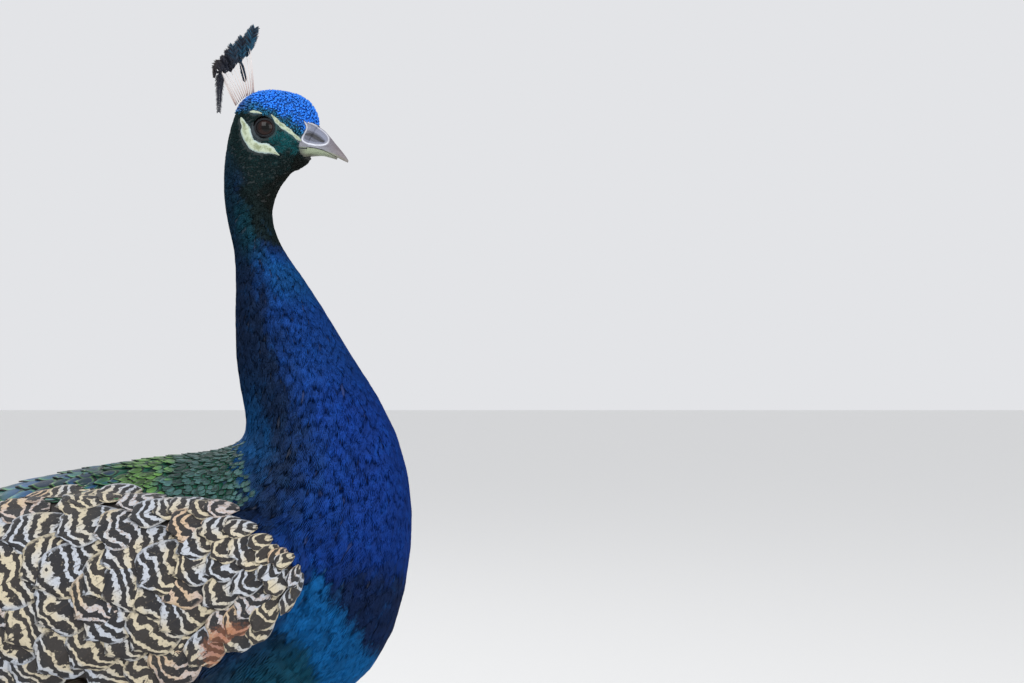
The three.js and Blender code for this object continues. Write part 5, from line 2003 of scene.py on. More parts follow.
@dataclass(frozen=True)
class Horn(Finish):
    """The bill's horn: grey above, pale along the edge, darker at the tip, with a pale rim round the nose and
    painted shade in the nose's sunken part, its slit and the gape.
    """

    ridge: Colour = linear(112, 110, 122)
    edge: Colour = linear(142, 144, 152)
    lower: Colour = linear(146, 158, 130)
    under: Colour = linear(78, 80, 62)
    tip: Colour = linear(116, 104, 106)
    flap: Colour = linear(126, 132, 152)
    rim: Colour = linear(226, 230, 242)
    # dark horn for the mottles, and the colour of the painted shade
    soot_and_shade: Colour = linear(44, 44, 48)

    def look(self, tree: Tree) -> dict[str, Any]:
        """Colours from the ridge to the edge and out to the tip, with faint growth lines, dark mottles and
        painted shade in the nose's sunken part, its slit and the gape.
        """
        x, _, z = tree.parts(tree.place())
        growth = tree.noise(tree.place((0.35, 1, 1.4)), 0.9, 3.0)
        line = 659.0 - (x - 100.0).top(0.0) ** 1.6 * 0.038
        colour = tree.mix((z - line + growth * 2).step(0.8, 6.5), self.edge, self.ridge)
        colour = tree.mix((z - line).step(0.2, -0.6), colour, self.lower)
        colour = tree.mix((z - line + growth * 2).step(-2.6, -5.4), colour, self.under)
        colour = tree.mix((x + growth * 4).step(112.0, 130.0) * 0.8, colour, self.tip)
        colour = tree.mix((growth - 0.25) * 0.5, colour, self.soot_and_shade)
        colour = tree.mix(tree.named("hollow") * 0.8, colour, self.flap)
        # painted shade in the sunken part of the nose
        colour = tree.mix(tree.named("sunk") * (0.9 - growth * 0.7), colour, self.soot_and_shade)
        low = (z - line).step(9.5, 3.5)
        colour = tree.mix(tree.named("rim") * (0.45 + 0.4 * growth + 0.4 * low), colour, self.rim)
        # painted shade in the nostril's slit
        colour = tree.mix(tree.named("slit") * 0.9, colour, self.soot_and_shade)
        # painted shade at the gape, where the bill meets the head
        gape = (x + growth * 3).step(102.5, 95.5) * (z + growth * 2).step(663.0, 657.0)
        colour = tree.mix(gape * 0.75, colour, self.soot_and_shade)
        return {"Base Color": colour, "Height": growth, "Roughness": self.roughness + 0.15 * growth}


@dataclass
class Bill:
    """Both halves of the bill, and the horny skin that they rise from, with the nostrils."""

    upper: tuple = (
        # ridge x, z    edge x, z    half width
        (105.6, 677.2, 99.2, 659.6, 8.7), (107.2, 676.2, 100.4, 659.3, 8.5),
        (112.6, 672.6, 106.2, 658.5, 7.4), (117.3, 667.4, 112.2, 656.9, 6.1),
        (121.8, 661.8, 117.8, 654.2, 4.7), (126.0, 656.8, 123.8, 651.0, 3.2),
        (129.4, 652.4, 128.2, 648.8, 1.9), (131.4, 649.2, 131.0, 647.5, 0.7),
    )
    lower: tuple = (
        # keel x, z    edge x, z    half width
        (97.8, 651.7, 100.2, 659.0, 7.9), (105.0, 652.4, 106.0, 658.2, 6.9),
        (111.6, 652.6, 112.0, 656.6, 5.5), (117.2, 651.3, 117.9, 653.9, 3.9),
        (122.2, 649.8, 122.8, 651.5, 1.6),
    )
    nose: tuple = ((97.8, 678.4), (99.6, 675.4), (99.6, 672.4), (98.1, 669.4), (96.7, 666.4), (96.4, 663.9),
                   (98.6, 662.4), (101.6, 661.4), (105.4, 660.8), (109.2, 660.5), (113.0, 661.0),
                   (115.5, 662.5), (116.4, 665.2), (115.4, 668.2), (113.0, 671.0), (109.6, 673.6),
                   (105.6, 675.8), (101.6, 677.4))  # the pale rim round the nasal hollow
    flap: tuple = ((99.5, 671.6), (103.0, 671.4), (107.5, 669.6), (111.5, 666.6), (114.0, 663.2),
                   (108.0, 662.6), (102.0, 663.6), (97.9, 665.4))  # the sunken part below the scale, darkened with painted shade
    slit: tuple = ((99.4, 668.4, 0.8), (102.3, 668.6, 1.3), (106.0, 667.0, 1.5), (109.5, 664.8, 1.2),
                   (112.2, 663.5, 0.7))
    depth: float = 0.9  # of the hollow
    slit_depth: float = 1.0
    bead: float = 0.35  # how far the rim stands out
    rim_half: float = 0.5
    rows: int = 80
    columns: int = 69
    rise: float = 1.0  # of the horny skin over the head's
    sheath_rows: int = 44
    sheath_thick: float = 0.6
    weld: float = 2e-5  # metres within which the palate and the arch are joined at their edge

    def features(self, points: Array) -> tuple[Array, dict[str, Array]]:
        """How far the nose's features draw points in, and how strongly each one shows there."""
        nose = row_at(np.array(self.nose + self.nose[:1]), np.linspace(0, len(self.nose), 60)[:-1])
        inside = inside_by(nose, points[..., [0, 2]])
        slit = spread_over(self.slit, 30)
        away = (np.linalg.norm(points[..., None, [0, 2]] - slit[:, :2], axis=-1) - slit[:, 2]).min(-1)
        flap = row_at(np.array(self.flap + self.flap[:1]), np.linspace(0, len(self.flap), 50)[:-1])
        sunk = smooth(inside_by(flap, points[..., [0, 2]]), -0.3, 0.7)
        cut, rim = smooth(-away, -0.35, 0.35), np.exp(-(inside / self.rim_half) ** 2)
        hollow = smooth(inside, 0.3, 1.6)
        return hollow * self.depth * (0.3 + 0.7 * sunk) + cut * self.slit_depth - rim * self.bead, {
            "hollow": hollow, "rim": rim, "slit": cut, "sunk": sunk * hollow}

    def half(self, table: tuple, name: str, grooved: bool) -> bpy.types.Object:
        """One half: an arch from edge to edge, closed by a flat palate."""
        rows = spread_over(table, self.rows)
        turns = np.linspace(-math.pi / 2, math.pi / 2, self.columns)
        rise = np.cos(turns) ** 0.85
        x = rows[:, 2, None] + (rows[:, 0] - rows[:, 2])[:, None] * rise
        z = rows[:, 3, None] + (rows[:, 1] - rows[:, 3])[:, None] * rise
        y = rows[:, 4, None] * np.sin(turns)
        outer = np.stack([x, y, z], -1)
        push, values = self.features(outer)
        if grooved:
            outer[..., 1] -= push * np.sign(y) * smooth(np.abs(y), 0.5, 2.5)
        else:
            values = {key: 0 * value for key, value in values.items()}
        palate = outer.copy()
        palate[..., 0] = outer[:, :1, 0]
        palate[..., 2] = outer[:, :1, 2]
        mesh = slab(outer, palate, values).mesh(name)
        work = bmesh.new()
        work.from_mesh(mesh)
        bmesh.ops.remove_doubles(work, verts=work.verts, dist=self.weld)
        work.to_mesh(mesh)
        work.free()
        return self.finished(solid(mesh))

    def finished(self, piece: bpy.types.Object) -> bpy.types.Object:
        """A piece of horn on the body."""
        Horn("bill_horn", roughness=0.34, relief=0.12, coat=0.1).dress(piece)
        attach(piece, BODY)
        return piece

    def sheath(self, skin: Skin, bill: BVHTree, rear: tuple, front: tuple, sign: int) -> Shape:
        """Horny skin laid on one side of the head, from its rear edge to the bill's own surface."""
        back, ahead = spread_over(rear, self.sheath_rows), spread_over(front, self.sheath_rows)
        share = np.linspace(0, 1, self.sheath_rows // 2)[:, None, None]
        flat = back * (1 - share) + ahead * share
        points = np.stack([flat[..., 0], 0 * flat[..., 0], flat[..., 1]], -1)
        push, values = self.features(points)
        edge, near = smooth(share[..., 0], -0.1, 0.35), smooth(share[..., 0], 0.35, 1.0)
        top, bottom = points.copy(), points.copy()
        inwards = Vector((0, -sign, 0))
        ends = [bill.ray_cast(Vector((x, sign * HEAD_CLEAR, z)), inwards)[0] for x, z in ahead]
        for i, j in np.ndindex(points.shape[:2]):
            x, _, z = points[i, j]
            found = skin.beside(x, z, sign)
            at, out = found if found is not None else (np.array([x, 0.0, z]), np.array([0, sign * 1.0, 0]))
            top[i, j] = at + out * max(0.1, self.rise * edge[i, 0] - push[i, j])
            if ends[j] is not None:
                top[i, j, 1] += near[i, 0] * (ends[j].y + sign * 0.04 - top[i, j, 1])
                top[i, j, 1] = sign * max(abs(top[i, j, 1]), abs(at[1]) + 0.1)
            bottom[i, j] = [top[i, j, 0], sign * (abs(top[i, j, 1]) - self.sheath_thick), top[i, j, 2]]
        return slab(top, bottom, values)

    def build(self, skin: Skin) -> list[bpy.types.Object]:
        """Makes both halves in the place of their nodes, and the horny skin behind them."""
        patches = FACE_PATCHES
        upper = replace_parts(self.half(self.upper, "upper_bill", True), "bill_upper")
        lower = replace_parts(self.half(self.lower, "lower_bill", False), "bill_lower")
        shapes = []
        for half, rear, front in ((upper, patches.rear, patches.front),
                                  (lower, patches.low_rear, patches.low_front)):
            corners = [Vector(from_frame(np.array(vertex.co))) for vertex in half.data.vertices]
            tree = BVHTree.FromPolygons(corners, [tuple(face.vertices) for face in half.data.polygons])
            shapes += [self.sheath(skin, tree, rear, front, sign) for sign in SIDES.values()]
        return [upper, lower, self.finished(solid(Shape.join(shapes).mesh("bill_root")))]


@dataclass(frozen=True)
class CrestVane(Finish):
    """Blue-black barbs with a painted green-blue sheen."""

    dark: Colour = linear(20, 26, 42)
    rust: Colour = linear(48, 38, 34)
    # the colour of the painted sheen
    painted_sheen_colour: Colour = linear(30, 84, 112)

    def look(self, tree: Tree) -> dict[str, Any]:
        """Some barbs near the front top take a painted sheen, and the rear ones are browner."""
        strand = tree.named("strand")
        x, _, z = tree.parts(tree.place())
        soft = tree.noise(tree.place(), 0.12)
        base = tree.mix((x - z * 0.25 + strand * 6).step(-142.0, -156.0), self.dark, self.rust)
        # painted sheen on some barbs at the crest's front top
        glint = (strand * 0.6 + soft * 0.9).step(0.6, 1.1) * (x + z * 0.6 + strand * 6).step(477.0, 494.0)
        return {"Base Color": tree.mix(glint, base, self.painted_sheen_colour)}


@dataclass(frozen=True)
class Quill(Finish):
    """Pale bare shafts, pinkish brown towards their roots."""

    pale: Colour = linear(226, 216, 212)
    brown: Colour = linear(182, 158, 150)

    def look(self, tree: Tree) -> dict[str, Any]:
        """Pale with a brown root."""
        along = tree.named("along")
        return {"Base Color": tree.mix(along.step(0.5, 0.0), self.pale, self.brown)}


@dataclass
class Crest:
    """The fan of bare shafts on the crown, each with a barbed paddle at its tip."""

    feathers: int = 13  # in the fan
    fan: tuple = (
        # x and z of a shaft's root, bend and top and of its paddle's bend and end, and the paddle's half
        # width: from the front feather to the rear one
        (57.5, 702.0, 57.0, 720.0, 55.0, 735.5, 56.0, 744.0, 58.8, 751.5, 4.3),
        (53.0, 700.0, 51.0, 713.0, 46.5, 725.5, 44.5, 734.0, 45.5, 741.0, 4.0),
        (48.5, 697.0, 43.0, 709.0, 37.0, 718.0, 33.5, 726.0, 32.0, 727.0, 3.6),
        (44.0, 692.5, 37.0, 706.0, 31.0, 719.0, 27.5, 729.0, 25.8, 715.0, 1.9),
    )
    loose: tuple = (
        # one that hangs behind, and a short one
        (43.5, 692.0, 36.0, 706.0, 32.3, 717.0, 31.3, 722.0, 30.6, 687.0, 3.3),
        (52.5, 700.0, 52.0, 706.0, 50.3, 711.0, 49.5, 718.0, 47.3, 725.0, 1.9),
    )
    spread: float = 5.0
    shaft: float = 0.42
    barbs: int = 46
    barb: tuple = ((0.26, 0.42), (0.22, 0.42), (0.05, 0.08))  # a barb's radii at its root, middle and tip
    lean: float = 0.35  # how far a barb may lean to the side
    vary: float = 0.15  # and be longer or shorter
    seed: int = 61
    UP = np.array([0, 1.0, 0.05])  # nearly across the bird, so that no shaft runs along it

    def path(self, row: Array, side: float) -> tuple[Array, Array, float]:
        """A feather's shaft, the line of its paddle and the paddle's half width."""
        root, bend, top, knee, end = row[:10].reshape(5, 2)
        flat, paddle = curve(root, bend, top, 9), curve(top, knee, end, 14)
        out = side * self.spread * np.linspace(0, 1, len(flat)) ** 1.5
        return (np.column_stack([flat[:, 0], out, flat[:, 1]]),
                np.column_stack([paddle[:, 0], np.full(len(paddle), out[-1]), paddle[:, 1]]), float(row[10]))

    def barbs_of(self, line: Array, half_width: float, draw: np.random.Generator) -> list[Shape]:
        """The barbs along a paddle, as thin closed slivers."""
        run = unit(np.gradient(line, axis=0))
        side = unit(np.cross(run, np.array([0.0, 1.0, 0.0])))
        shapes = []
        for k in range(self.barbs):
            share = (k + 0.5) / self.barbs
            at = np.array([np.interp(share, np.linspace(0, 1, len(line)), line[:, c]) for c in range(3)])
            i = min(int(share * (len(line) - 1)), len(line) - 1)
            width = half_width * (math.sin(math.pi * min(0.12 + share * 0.8, 1)) ** 0.6 + 0.15)
            for hand in (-1, 1):
                lean = np.array([0.0, draw.uniform(-self.lean, self.lean), 0.0])
                way = unit((side[i] * hand + run[i] * (0.75 + 0.6 * share) + lean)[None])[0]
                length = width * 1.35 * draw.uniform(1 - self.vary, 1 + self.vary)
                path = np.array([at - run[i] * 0.3, at + way * length * 0.5, at + way * length])
                sliver = tube(path, np.array(self.barb), 4, up=self.UP)
                strand = np.full(len(sliver.points), draw.random())
                shapes.append(Shape(sliver.points, sliver.faces, {"strand": strand}))
        return shapes

    def build(self) -> list[bpy.types.Object]:
        """Makes the shafts and the vanes as two pieces."""
        draw = np.random.default_rng(self.seed)
        shafts, vanes = [], []
        fan = spread_over(self.fan, self.feathers)
        for k, row in enumerate(np.vstack([fan, self.loose])):
            shaft, line, half_width = self.path(row, ((k * 2) % 5) / 2 - 1)
            whole = np.vstack([shaft, line[1:4]])
            thick = np.linspace(self.shaft, self.shaft * 0.35, len(whole))
            shafts.append(tube(whole, thick, 5, up=self.UP))
            vanes += self.barbs_of(line, half_width, draw)
        pieces = []
        quill = Quill("pale_quill", roughness=0.45)
        barbs = CrestVane("crest_barbs", roughness=0.4, metallic=0.3)
        for name, shapes, finish in (("crest_shafts", shafts, quill), ("crest_vanes", vanes, barbs)):
            piece = finish.dress(solid(Shape.join(shapes).mesh(name)))
            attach(piece, BODY)
            pieces.append(piece)
        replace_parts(pieces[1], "crest")
        return pieces


# ------------------------------------------------------------------ train and tail
@dataclass(frozen=True)
class Underlay(Finish):
    """The dull inner feathers that lie between the showy ones: dark barbs either side of many shafts."""

    dark: Colour = linear(38, 40, 28)
    pale: Colour = linear(104, 92, 62)

    def look(self, tree: Tree) -> dict[str, Any]:
        """Long barbs that branch off shafts running back."""
        x, y, _ = tree.parts(tree.place())
        drift = tree.noise(tree.place(), 0.02) * 14
        lane = ((y + drift) / 15).wrap()
        barbs = ((x * 0.7 + lane * 11 + drift) * 1.5).sin()
        fine = tree.noise(tree.place((0.2, 1, 1)), 0.5)
        colour = tree.mix(fine * (0.55 + 0.3 * barbs), self.dark, self.pale)
        return {"Base Color": tree.mix(lane.step(0.9, 0.98) * 0.6, colour, self.pale), "Height": barbs + fine}


@dataclass(frozen=True)
class Ocellated(Finish):
    """Bronze-green barbs, and the eye: a dark blue heart in rings of turquoise, bronze and gold-green."""

    heart: Colour = linear(24, 16, 92)
    turquoise: Colour = linear(10, 146, 176)
    bronze: Colour = linear(158, 92, 38)
    gold: Colour = linear(170, 180, 62)
    violet: Colour = linear(112, 84, 112)
    green: Colour = linear(74, 118, 42)
    copper: Colour = linear(122, 88, 44)
    black: Colour = linear(16, 24, 14)

    def look(self, tree: Tree) -> dict[str, Any]:
        """Rings about the eye's middle; the barbs outside it vary from feather to feather."""
        along, across, _ = tree.parts(tree.named("blade", "Vector").socket)
        strand, tint = tree.named("strand"), tree.named("tint")
        middle, long, wide = EYE_SPOT
        side = abs(across)
        ring = (((along - middle) / long) ** 2.0 + (across / wide) ** 2.0) ** 0.5
        heart = (((along - middle + 0.2 * long - 0.32 * long * side / wide) / (long * 0.36)) ** 2.0
                 + (across / (wide * 0.38)) ** 2.0) ** 0.5
        hair = tree.noise(tree.vector(along * 60 - side * 14, across * 26, tint * 30), 1.0)
        eye = tree.mix(ring.step(0.46, 0.5), self.turquoise, self.bronze)
        eye = tree.mix(ring.step(0.7, 0.75), eye, self.gold)
        eye = tree.mix(ring.step(0.8, 0.84), eye, self.violet)
        eye = tree.mix(ring.step(0.9, 0.95), eye, self.green)
        eye = tree.mix(heart.step(1.04, 0.96), eye, self.heart)
        eye = tree.mix((hair - 0.4) * 0.5, eye, self.black)
        barb = tree.mix((tint * 0.7 + strand * 0.6).step(0.35, 0.95), self.green, self.copper)
        barb = tree.mix((strand * 1.7).wrap() * 0.45 + along.step(0.5, 0.0) * 0.3, barb, self.black)
        barb = tree.mix(hair.step(0.6, 0.8) * 0.5, barb, self.gold)
        return {"Base Color": tree.mix(strand.step(0.0, -0.5), barb, eye), "Height": hair}


@dataclass(frozen=True)
class Rectrix(Finish):
    """The brown-grey tail feathers under the train, faintly mottled and darker towards their tips."""

    brown: Colour = linear(112, 96, 78)
    dark: Colour = linear(52, 46, 42)

    def look(self, tree: Tree) -> dict[str, Any]:
        """Broken bars, darker tips and a dark shaft."""
        along, across, _ = tree.parts(tree.named("blade", "Vector").socket)
        tint = tree.named("tint")
        mottle = tree.noise(tree.vector(along * 60, across * 4, tint * 20), 1.0, 3.0)
        colour = tree.mix(mottle.step(0.42, 0.62) * 0.6 + along.step(0.7, 1.0) * 0.4, self.brown, self.dark)
        colour = tree.mix(abs(across).step(0.09, 0.04), colour, self.dark)
        barbs = (along * 420 - abs(across) * 40).sin()
        return {"Base Color": colour, "Height": barbs * 0.4 + mottle}


@dataclass
class Sheet(Ground):
    """A broad arched sheet of feathers, such as the folded train or the tail, from its sections."""

    name: str
    sections: tuple  # x, top z, half width, thickness, hang of the edges
    sink: float = 4.0  # how far its underlay lies inside the plumage
    thin: float = 0.25  # and no more than this share of its thickness
    rows: int = 90
    around: int = 44
    round: float = 0.8  # the power of the cosine that rounds a section
    under_chord: float = 30.0  # the length over which a feather underneath takes its direction
    map_width: float = 0.64  # of the unwrap, for each millimetre of half width and radian of turn

    def spots(self, x: Array, turn: Array) -> Array:
        """Points at some places along it and some turns round it, 0 at the top."""
        table = np.array(self.sections)
        place = np.interp(-np.ravel(x), -table[:, 0], np.arange(len(table)))
        _, top, half, thick, hang = row_at(table, place).T
        across, rise = np.sin(np.ravel(turn)), np.cos(np.ravel(turn))
        z = top - thick / 2 - hang * across ** 2 + np.sign(rise) * np.abs(rise) ** self.round * thick / 2
        return np.column_stack([np.ravel(x), half * across, z])

    def build(self, finish: Finish, slot: str, nodes: list[str]) -> bpy.types.Object:
        """Makes the underlay in the place of some nodes."""
        xs = np.linspace(self.sections[0][0], self.sections[-1][0], self.rows)
        turns = -math.pi + 2 * math.pi * (np.arange(self.around) + 0.5) / self.around
        x, turn = (grid.ravel() for grid in np.meshgrid(xs, turns, indexing="ij"))
        points = self.spots(x, turn)
        faces = grid_faces(self.rows, self.around, closed=True)
        last, n = (self.rows - 1) * self.around, self.around
        faces += [[n - 1 - k, n - 2 - k, k + 1, k] for k in range(n // 2 - 1)]
        faces += [[last + k, last + k + 1, last + n - 2 - k, last + n - 1 - k] for k in range(n // 2 - 1)]
        mesh = mesh_of(self.name, points, faces)
        normals = self.move(mesh, points)
        along, half, thick = np.array(self.sections)[:, [0, 2, 3]].T
        sink = np.minimum(self.sink, self.thin * np.interp(-x, -along, thick))
        self.hold(mesh, points - normals * sink[:, None])
        half = np.interp(-x, -along, half)
        maps = np.column_stack([turn * half * self.map_width, -x])[self.faces]
        wraps = (np.ptp(turn[self.faces], axis=1) > math.pi)[:, None]
        maps[..., 0] = np.where(wraps & (turn[self.faces] < 0), -maps[..., 0], maps[..., 0])
        self.unwrap(mesh, maps)
        self.piece = finish.dress(object_of(self.name, mesh))
        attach(self.piece, BODY)
        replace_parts(self.piece, *nodes)
        return self.piece

    def grow(self, planting: Planting, name: str, where: tuple, sizes: Array, poise: Array, form: Form,
             finish: Finish, laying: Laying, slot: str) -> bpy.types.Object:
        """Plants feathers on the sheet.

        Args:
            planting: the geometry tree.
            name: the piece's name.
            where: each root's x, turn and how far it points outwards.
            sizes: length, width and thickness of each.
            poise: how high each root and tip are over the sheet.
            form: the feathers' form.
            finish: their finish.
            laying: how they are planted.
            slot: not used.

        Returns:
            The piece.
        """
        x, turn, outwards = where
        chord = np.where(np.cos(turn) > 0, sizes[:, 0], self.under_chord)
        here = self.spots(x, turn)
        ahead = self.spots(np.maximum(x - chord, self.sections[-1][0] + 2), turn)
        ways = unit(ahead - here) + np.column_stack([0 * x, outwards, 0 * x])
        roots = self.roots_from(here, ways)
        lie = unit(ways)
        out = unit(roots.out - lie * (roots.out * lie).sum(1)[:, None])
        roots = Roots(roots.at, out, lie, roots.patch, *([0 * x] * 3))
        piece = planting.plant(name, roots, sizes, poise, form, finish, laying, self.piece)
        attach(piece, BODY)
        return piece


BARBED = Ocellated("barbed_feathers", roughness=0.42, metallic=0.35, relief=0.25)


@dataclass
class Train:
    """The folded train: scale feathers at its root, then rows of eyed feathers, and a fringe without eyes."""

    sections: tuple = (
        (-126, 389, 42, 10, 13), (-150, 396, 54, 20, 17), (-175, 397, 68, 36, 20),
        (-215, 395, 80, 60, 26), (-265, 387, 92, 74, 32), (-340, 368, 106, 70, 36),
        (-470, 329, 126, 62, 38), (-610, 277, 144, 54, 38), (-750, 222, 158, 48, 36),
        (-890, 169, 168, 42, 32), (-1030, 117, 174, 38, 28), (-1160, 77, 172, 34, 22),
        (-1270, 47.5, 162, 29, 14), (-1350, 31, 146, 21, 6), (-1410, 23, 122, 16, 4),
        (-1450, 18, 98, 13, 3), (-1490, 15, 70, 11, 2),
    )
    row_reach: tuple = (0.9, 0.97)  # how far to the side every other row reaches
    eyed: tuple = (232.0, 88.0, 0.9)  # an eyed feather's length, width and thickness
    eyed_scale: tuple = (0.74, 1400)  # of the first ones, and over how many millimetres it would grow by one
    eyed_stray: float = 9  # how far along the train an eye may be from its row
    eyed_seed: int = 72
    first_eyes: float = -395.0
    last_eyes: float = -1452.0
    eye_rows: int = 17
    eyes_across: float = 40.0  # from one eye to the next in a row, before the train spreads
    scales: tuple = (-131.0, -470.0, 16, 21.0)  # from, to, rows, and from one feather to the next in a row
    scale_growth: float = 0.045  # for each millimetre along the train
    scale_size: tuple = (2.1, 1.35)  # a scale feather's length and width, for each millimetre of its gap
    spread_turn: tuple = (1.35, 1.28)  # how far round the sheet the outer scales and eyes are
    side_fronds: int = 26
    side_run: tuple = (-250, -1320)  # x of the first and last frond's root
    under_fronds: int = 15
    under_run: tuple = (-300, -1300)
    frond: tuple = (170.0, 74.0, 0.8)  # length, width and thickness
    frond_poise: tuple = (0.3, 4.0)
    edge_turn: float = 1.5  # how far round the sheet the side fronds are
    edge_out: float = 0.16  # how far outwards they point
    under_turn: float = 1.1  # how far round from the bottom the outer ones underneath are
    under_row: int = 5
    end_fronds: int = 27
    end_root: float = -1340.0
    end_length: tuple = (192, 46)  # in the middle, and how much less at the sides
    end_half: float = 96  # how far to the side the outer ones start
    end_width: float = 64

    def build(self, planting: Planting) -> list[bpy.types.Object]:
        """Makes the underlay and plants the feathers."""
        sheet = Sheet("train_underlay", self.sections, sink=5.5)
        pieces = [sheet.build(Underlay("train_underlay", roughness=0.7, relief=0.6), "train",
                              ["train_base", "train_middle", "train_end"])]
        pieces += [self.scale_feathers(planting, sheet), self.eyed_feathers(planting, sheet)]
        return pieces + [self.fronds(planting, sheet), self.end_fan(planting, sheet)]

    def rows(self, first: float, last: float, count: int, gap: float) -> tuple[Array, Array, Array]:
        """Staggered places along the train and across its upper side, -1 to 1, and each one's row."""
        xs, shares, row = [], [], []
        table = np.array(self.sections)
        for k, x in enumerate(np.linspace(first, last, count)):
            half = np.interp(-x, -table[:, 0], table[:, 2])
            each = max(int(2 * half / gap), 4) + k % 2
            xs += [x] * each
            shares += list(np.linspace(-1, 1, each) * self.row_reach[k % 2])
            row += [k] * each
        return np.array(xs), np.array(shares), np.array(row)

    def scale_feathers(self, planting: Planting, sheet: Sheet) -> bpy.types.Object:
        """The bronze-green scale feathers at the train's root."""
        x, share, _ = self.rows(*self.scales)
        size = self.scales[3] + self.scale_growth * (self.scales[0] - x)
        long, wide = self.scale_size
        sizes = np.column_stack([size * long, size * wide, 0 * size + 0.8])
        poise = np.column_stack([0 * x + 0.6, 0 * x + 6.5])
        finish = Scaled("train_scales", roughness=0.36, metallic=0.45, relief=0.2)
        where = (x, share * self.spread_turn[0], 0.12 * share)
        return sheet.grow(planting, "train_scale_feathers", where, sizes, poise, Form.SCALE, finish,
                          Laying(0.08, 71, 22.0), "train")

    def eyed_feathers(self, planting: Planting, sheet: Sheet) -> bpy.types.Object:
        """The long feathers with eyes near their tips."""
        x, share, _ = self.rows(self.first_eyes, self.last_eyes, self.eye_rows, self.eyes_across)
        draw = np.random.default_rng(self.eyed_seed)
        x = x + draw.uniform(-self.eyed_stray, self.eyed_stray, len(x))
        least, growth = self.eyed_scale
        scale = np.clip(least + (self.first_eyes - x) / growth, least, 1.0)
        sizes = np.array(self.eyed) * scale[:, None]
        poise = np.column_stack([draw.uniform(0.2, 1.2, len(x)), draw.uniform(5.5, 8.5, len(x))])
        root = x + EYE_SPOT[0] * sizes[:, 0]
        finish = Ocellated("eyed_feathers", roughness=0.36, metallic=0.5, relief=0.25)
        where = (root, share * self.spread_turn[1], 0.1 * share)
        return sheet.grow(planting, "train_eyed_feathers", where, sizes, poise, Form.EYED, finish,
                          Laying(0.06, 73, 60.0), "train")

    def fronds(self, planting: Planting, sheet: Sheet) -> bpy.types.Object:
        """Barbed feathers without eyes, along both edges and on the underside."""
        edge = np.linspace(*self.side_run, self.side_fronds)
        beneath = np.repeat(np.linspace(*self.under_run, self.under_fronds), self.under_row)
        x = np.concatenate([edge, edge, beneath])
        row = np.linspace(-self.under_turn, self.under_turn, self.under_row)
        under = math.pi + np.tile(row, self.under_fronds)
        turn = np.concatenate([0 * edge + self.edge_turn, 0 * edge - self.edge_turn, under])
        outwards = np.concatenate([0 * edge + self.edge_out, 0 * edge - self.edge_out, 0 * under])
        sizes = np.tile(self.frond, (len(x), 1))
        poise = np.tile(self.frond_poise, (len(x), 1))
        return sheet.grow(planting, "train_edge_feathers", (x, turn, outwards), sizes, poise, Form.FROND,
                          BARBED, Laying(0.1, 74, 50.0), "train")

    def end_fan(self, planting: Planting, sheet: Sheet) -> bpy.types.Object:
        """The fishtail feathers that stand out past the end, straight to the floor."""
        share = np.linspace(-1, 1, self.end_fronds)
        x = self.end_root + 34 * share ** 2
        length = self.end_length[0] - self.end_length[1] * share ** 2
        upper = np.arange(self.end_fronds) % 2
        here = np.column_stack([x, self.end_half * share, 17 + 20 * upper - (6 + 6 * upper) * share ** 2])
        tip = here + np.column_stack([-length, 30 * share, 0 * share])
        tip[:, 2] = 3.0 + 4 * upper
        ways = unit(tip - here)
        roots = sheet.roots_from(here, ways)
        side = np.array([0.0, 1.0, 0.0]) - ways * ways[:, 1:2]
        roots = Roots(here, np.cross(ways, unit(side)) * -1, ways, roots.patch, *([0 * x] * 3))
        sizes = np.column_stack([length, 0 * x + self.end_width, 0 * x + 0.9])
        piece = planting.plant("train_end_feathers", roots, sizes, np.zeros((len(x), 2)), Form.FROND, BARBED,
                               Laying(0.02, 75, 40.0, hug=0.0), sheet.piece)
        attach(piece, BODY)
        return piece


@dataclass
class Tail:
    """The stiff tail feathers under the train, fanned a little."""

    sections: tuple = (
        (-225, 322, 20, 22, 10), (-290, 301, 42, 16, 10), (-380, 281, 60, 11, 10), (-480, 257, 72, 9, 10),
        (-580, 222, 76, 8, 10), (-630, 203, 62, 7, 10), (-655, 193, 34, 6, 10),
    )
    feathers: int = 10
    length: float = 330.0
    longer: float = 34  # the middle ones, than the outer ones
    width: float = 42.0
    thick: float = 0.9
    root: tuple = (-275, 12)  # x of the outer roots, and how far behind them the middle ones are
    turn: float = 1.05  # how far round the core the outer ones are

    def build(self, planting: Planting) -> list[bpy.types.Object]:
        """Makes the core and the feathers on both its sides."""
        sheet = Sheet("tail_core", self.sections, sink=2.2, rows=40, around=28)
        core = sheet.build(Underlay("tail_core", roughness=0.75, relief=0.4), "tail", ["tail"])
        share = np.linspace(-1, 1, self.feathers)
        x = np.tile(self.root[0] - self.root[1] * (1 - share ** 2), 2)
        turn = np.concatenate([share * self.turn, math.pi - share * self.turn])
        both = np.tile(share, 2)
        length = self.length + self.longer * (1 - both ** 2)
        sizes = np.column_stack([length, 0 * both + self.width, 0 * both + self.thick])
        poise = np.column_stack([0.3 + 1.2 * (1 - np.abs(both)), 0.8 + 2.2 * (1 - np.abs(both))])
        finish = Rectrix("tail_feathers", roughness=0.6, relief=0.3)
        vanes = sheet.grow(planting, "tail_feathers", (x, turn, 0.02 * both), sizes, poise, Form.VANE, finish,
                           Laying(0.01, 81, 40.0), "tail")
        return [core, vanes]


# ------------------------------------------------------------------ legs
@dataclass(frozen=True)
class Scutes(Finish):
    """Grey-brown leg scales with darker joints."""

    pale: Colour = linear(148, 134, 118)
    dark: Colour = linear(84, 74, 66)

    def look(self, tree: Tree) -> dict[str, Any]:
        """Fine pits and stains, each scale a little different."""
        fine = tree.noise(tree.place(), 0.8, 3.0)
        soft = tree.noise(tree.place(), 0.09)
        tint = tree.named("tint")
        share = (fine * 0.5 + soft * 0.6 + tint * 0.3).step(0.3, 1.0)
        return {"Base Color": tree.mix(share, self.dark, self.pale), "Height": fine}


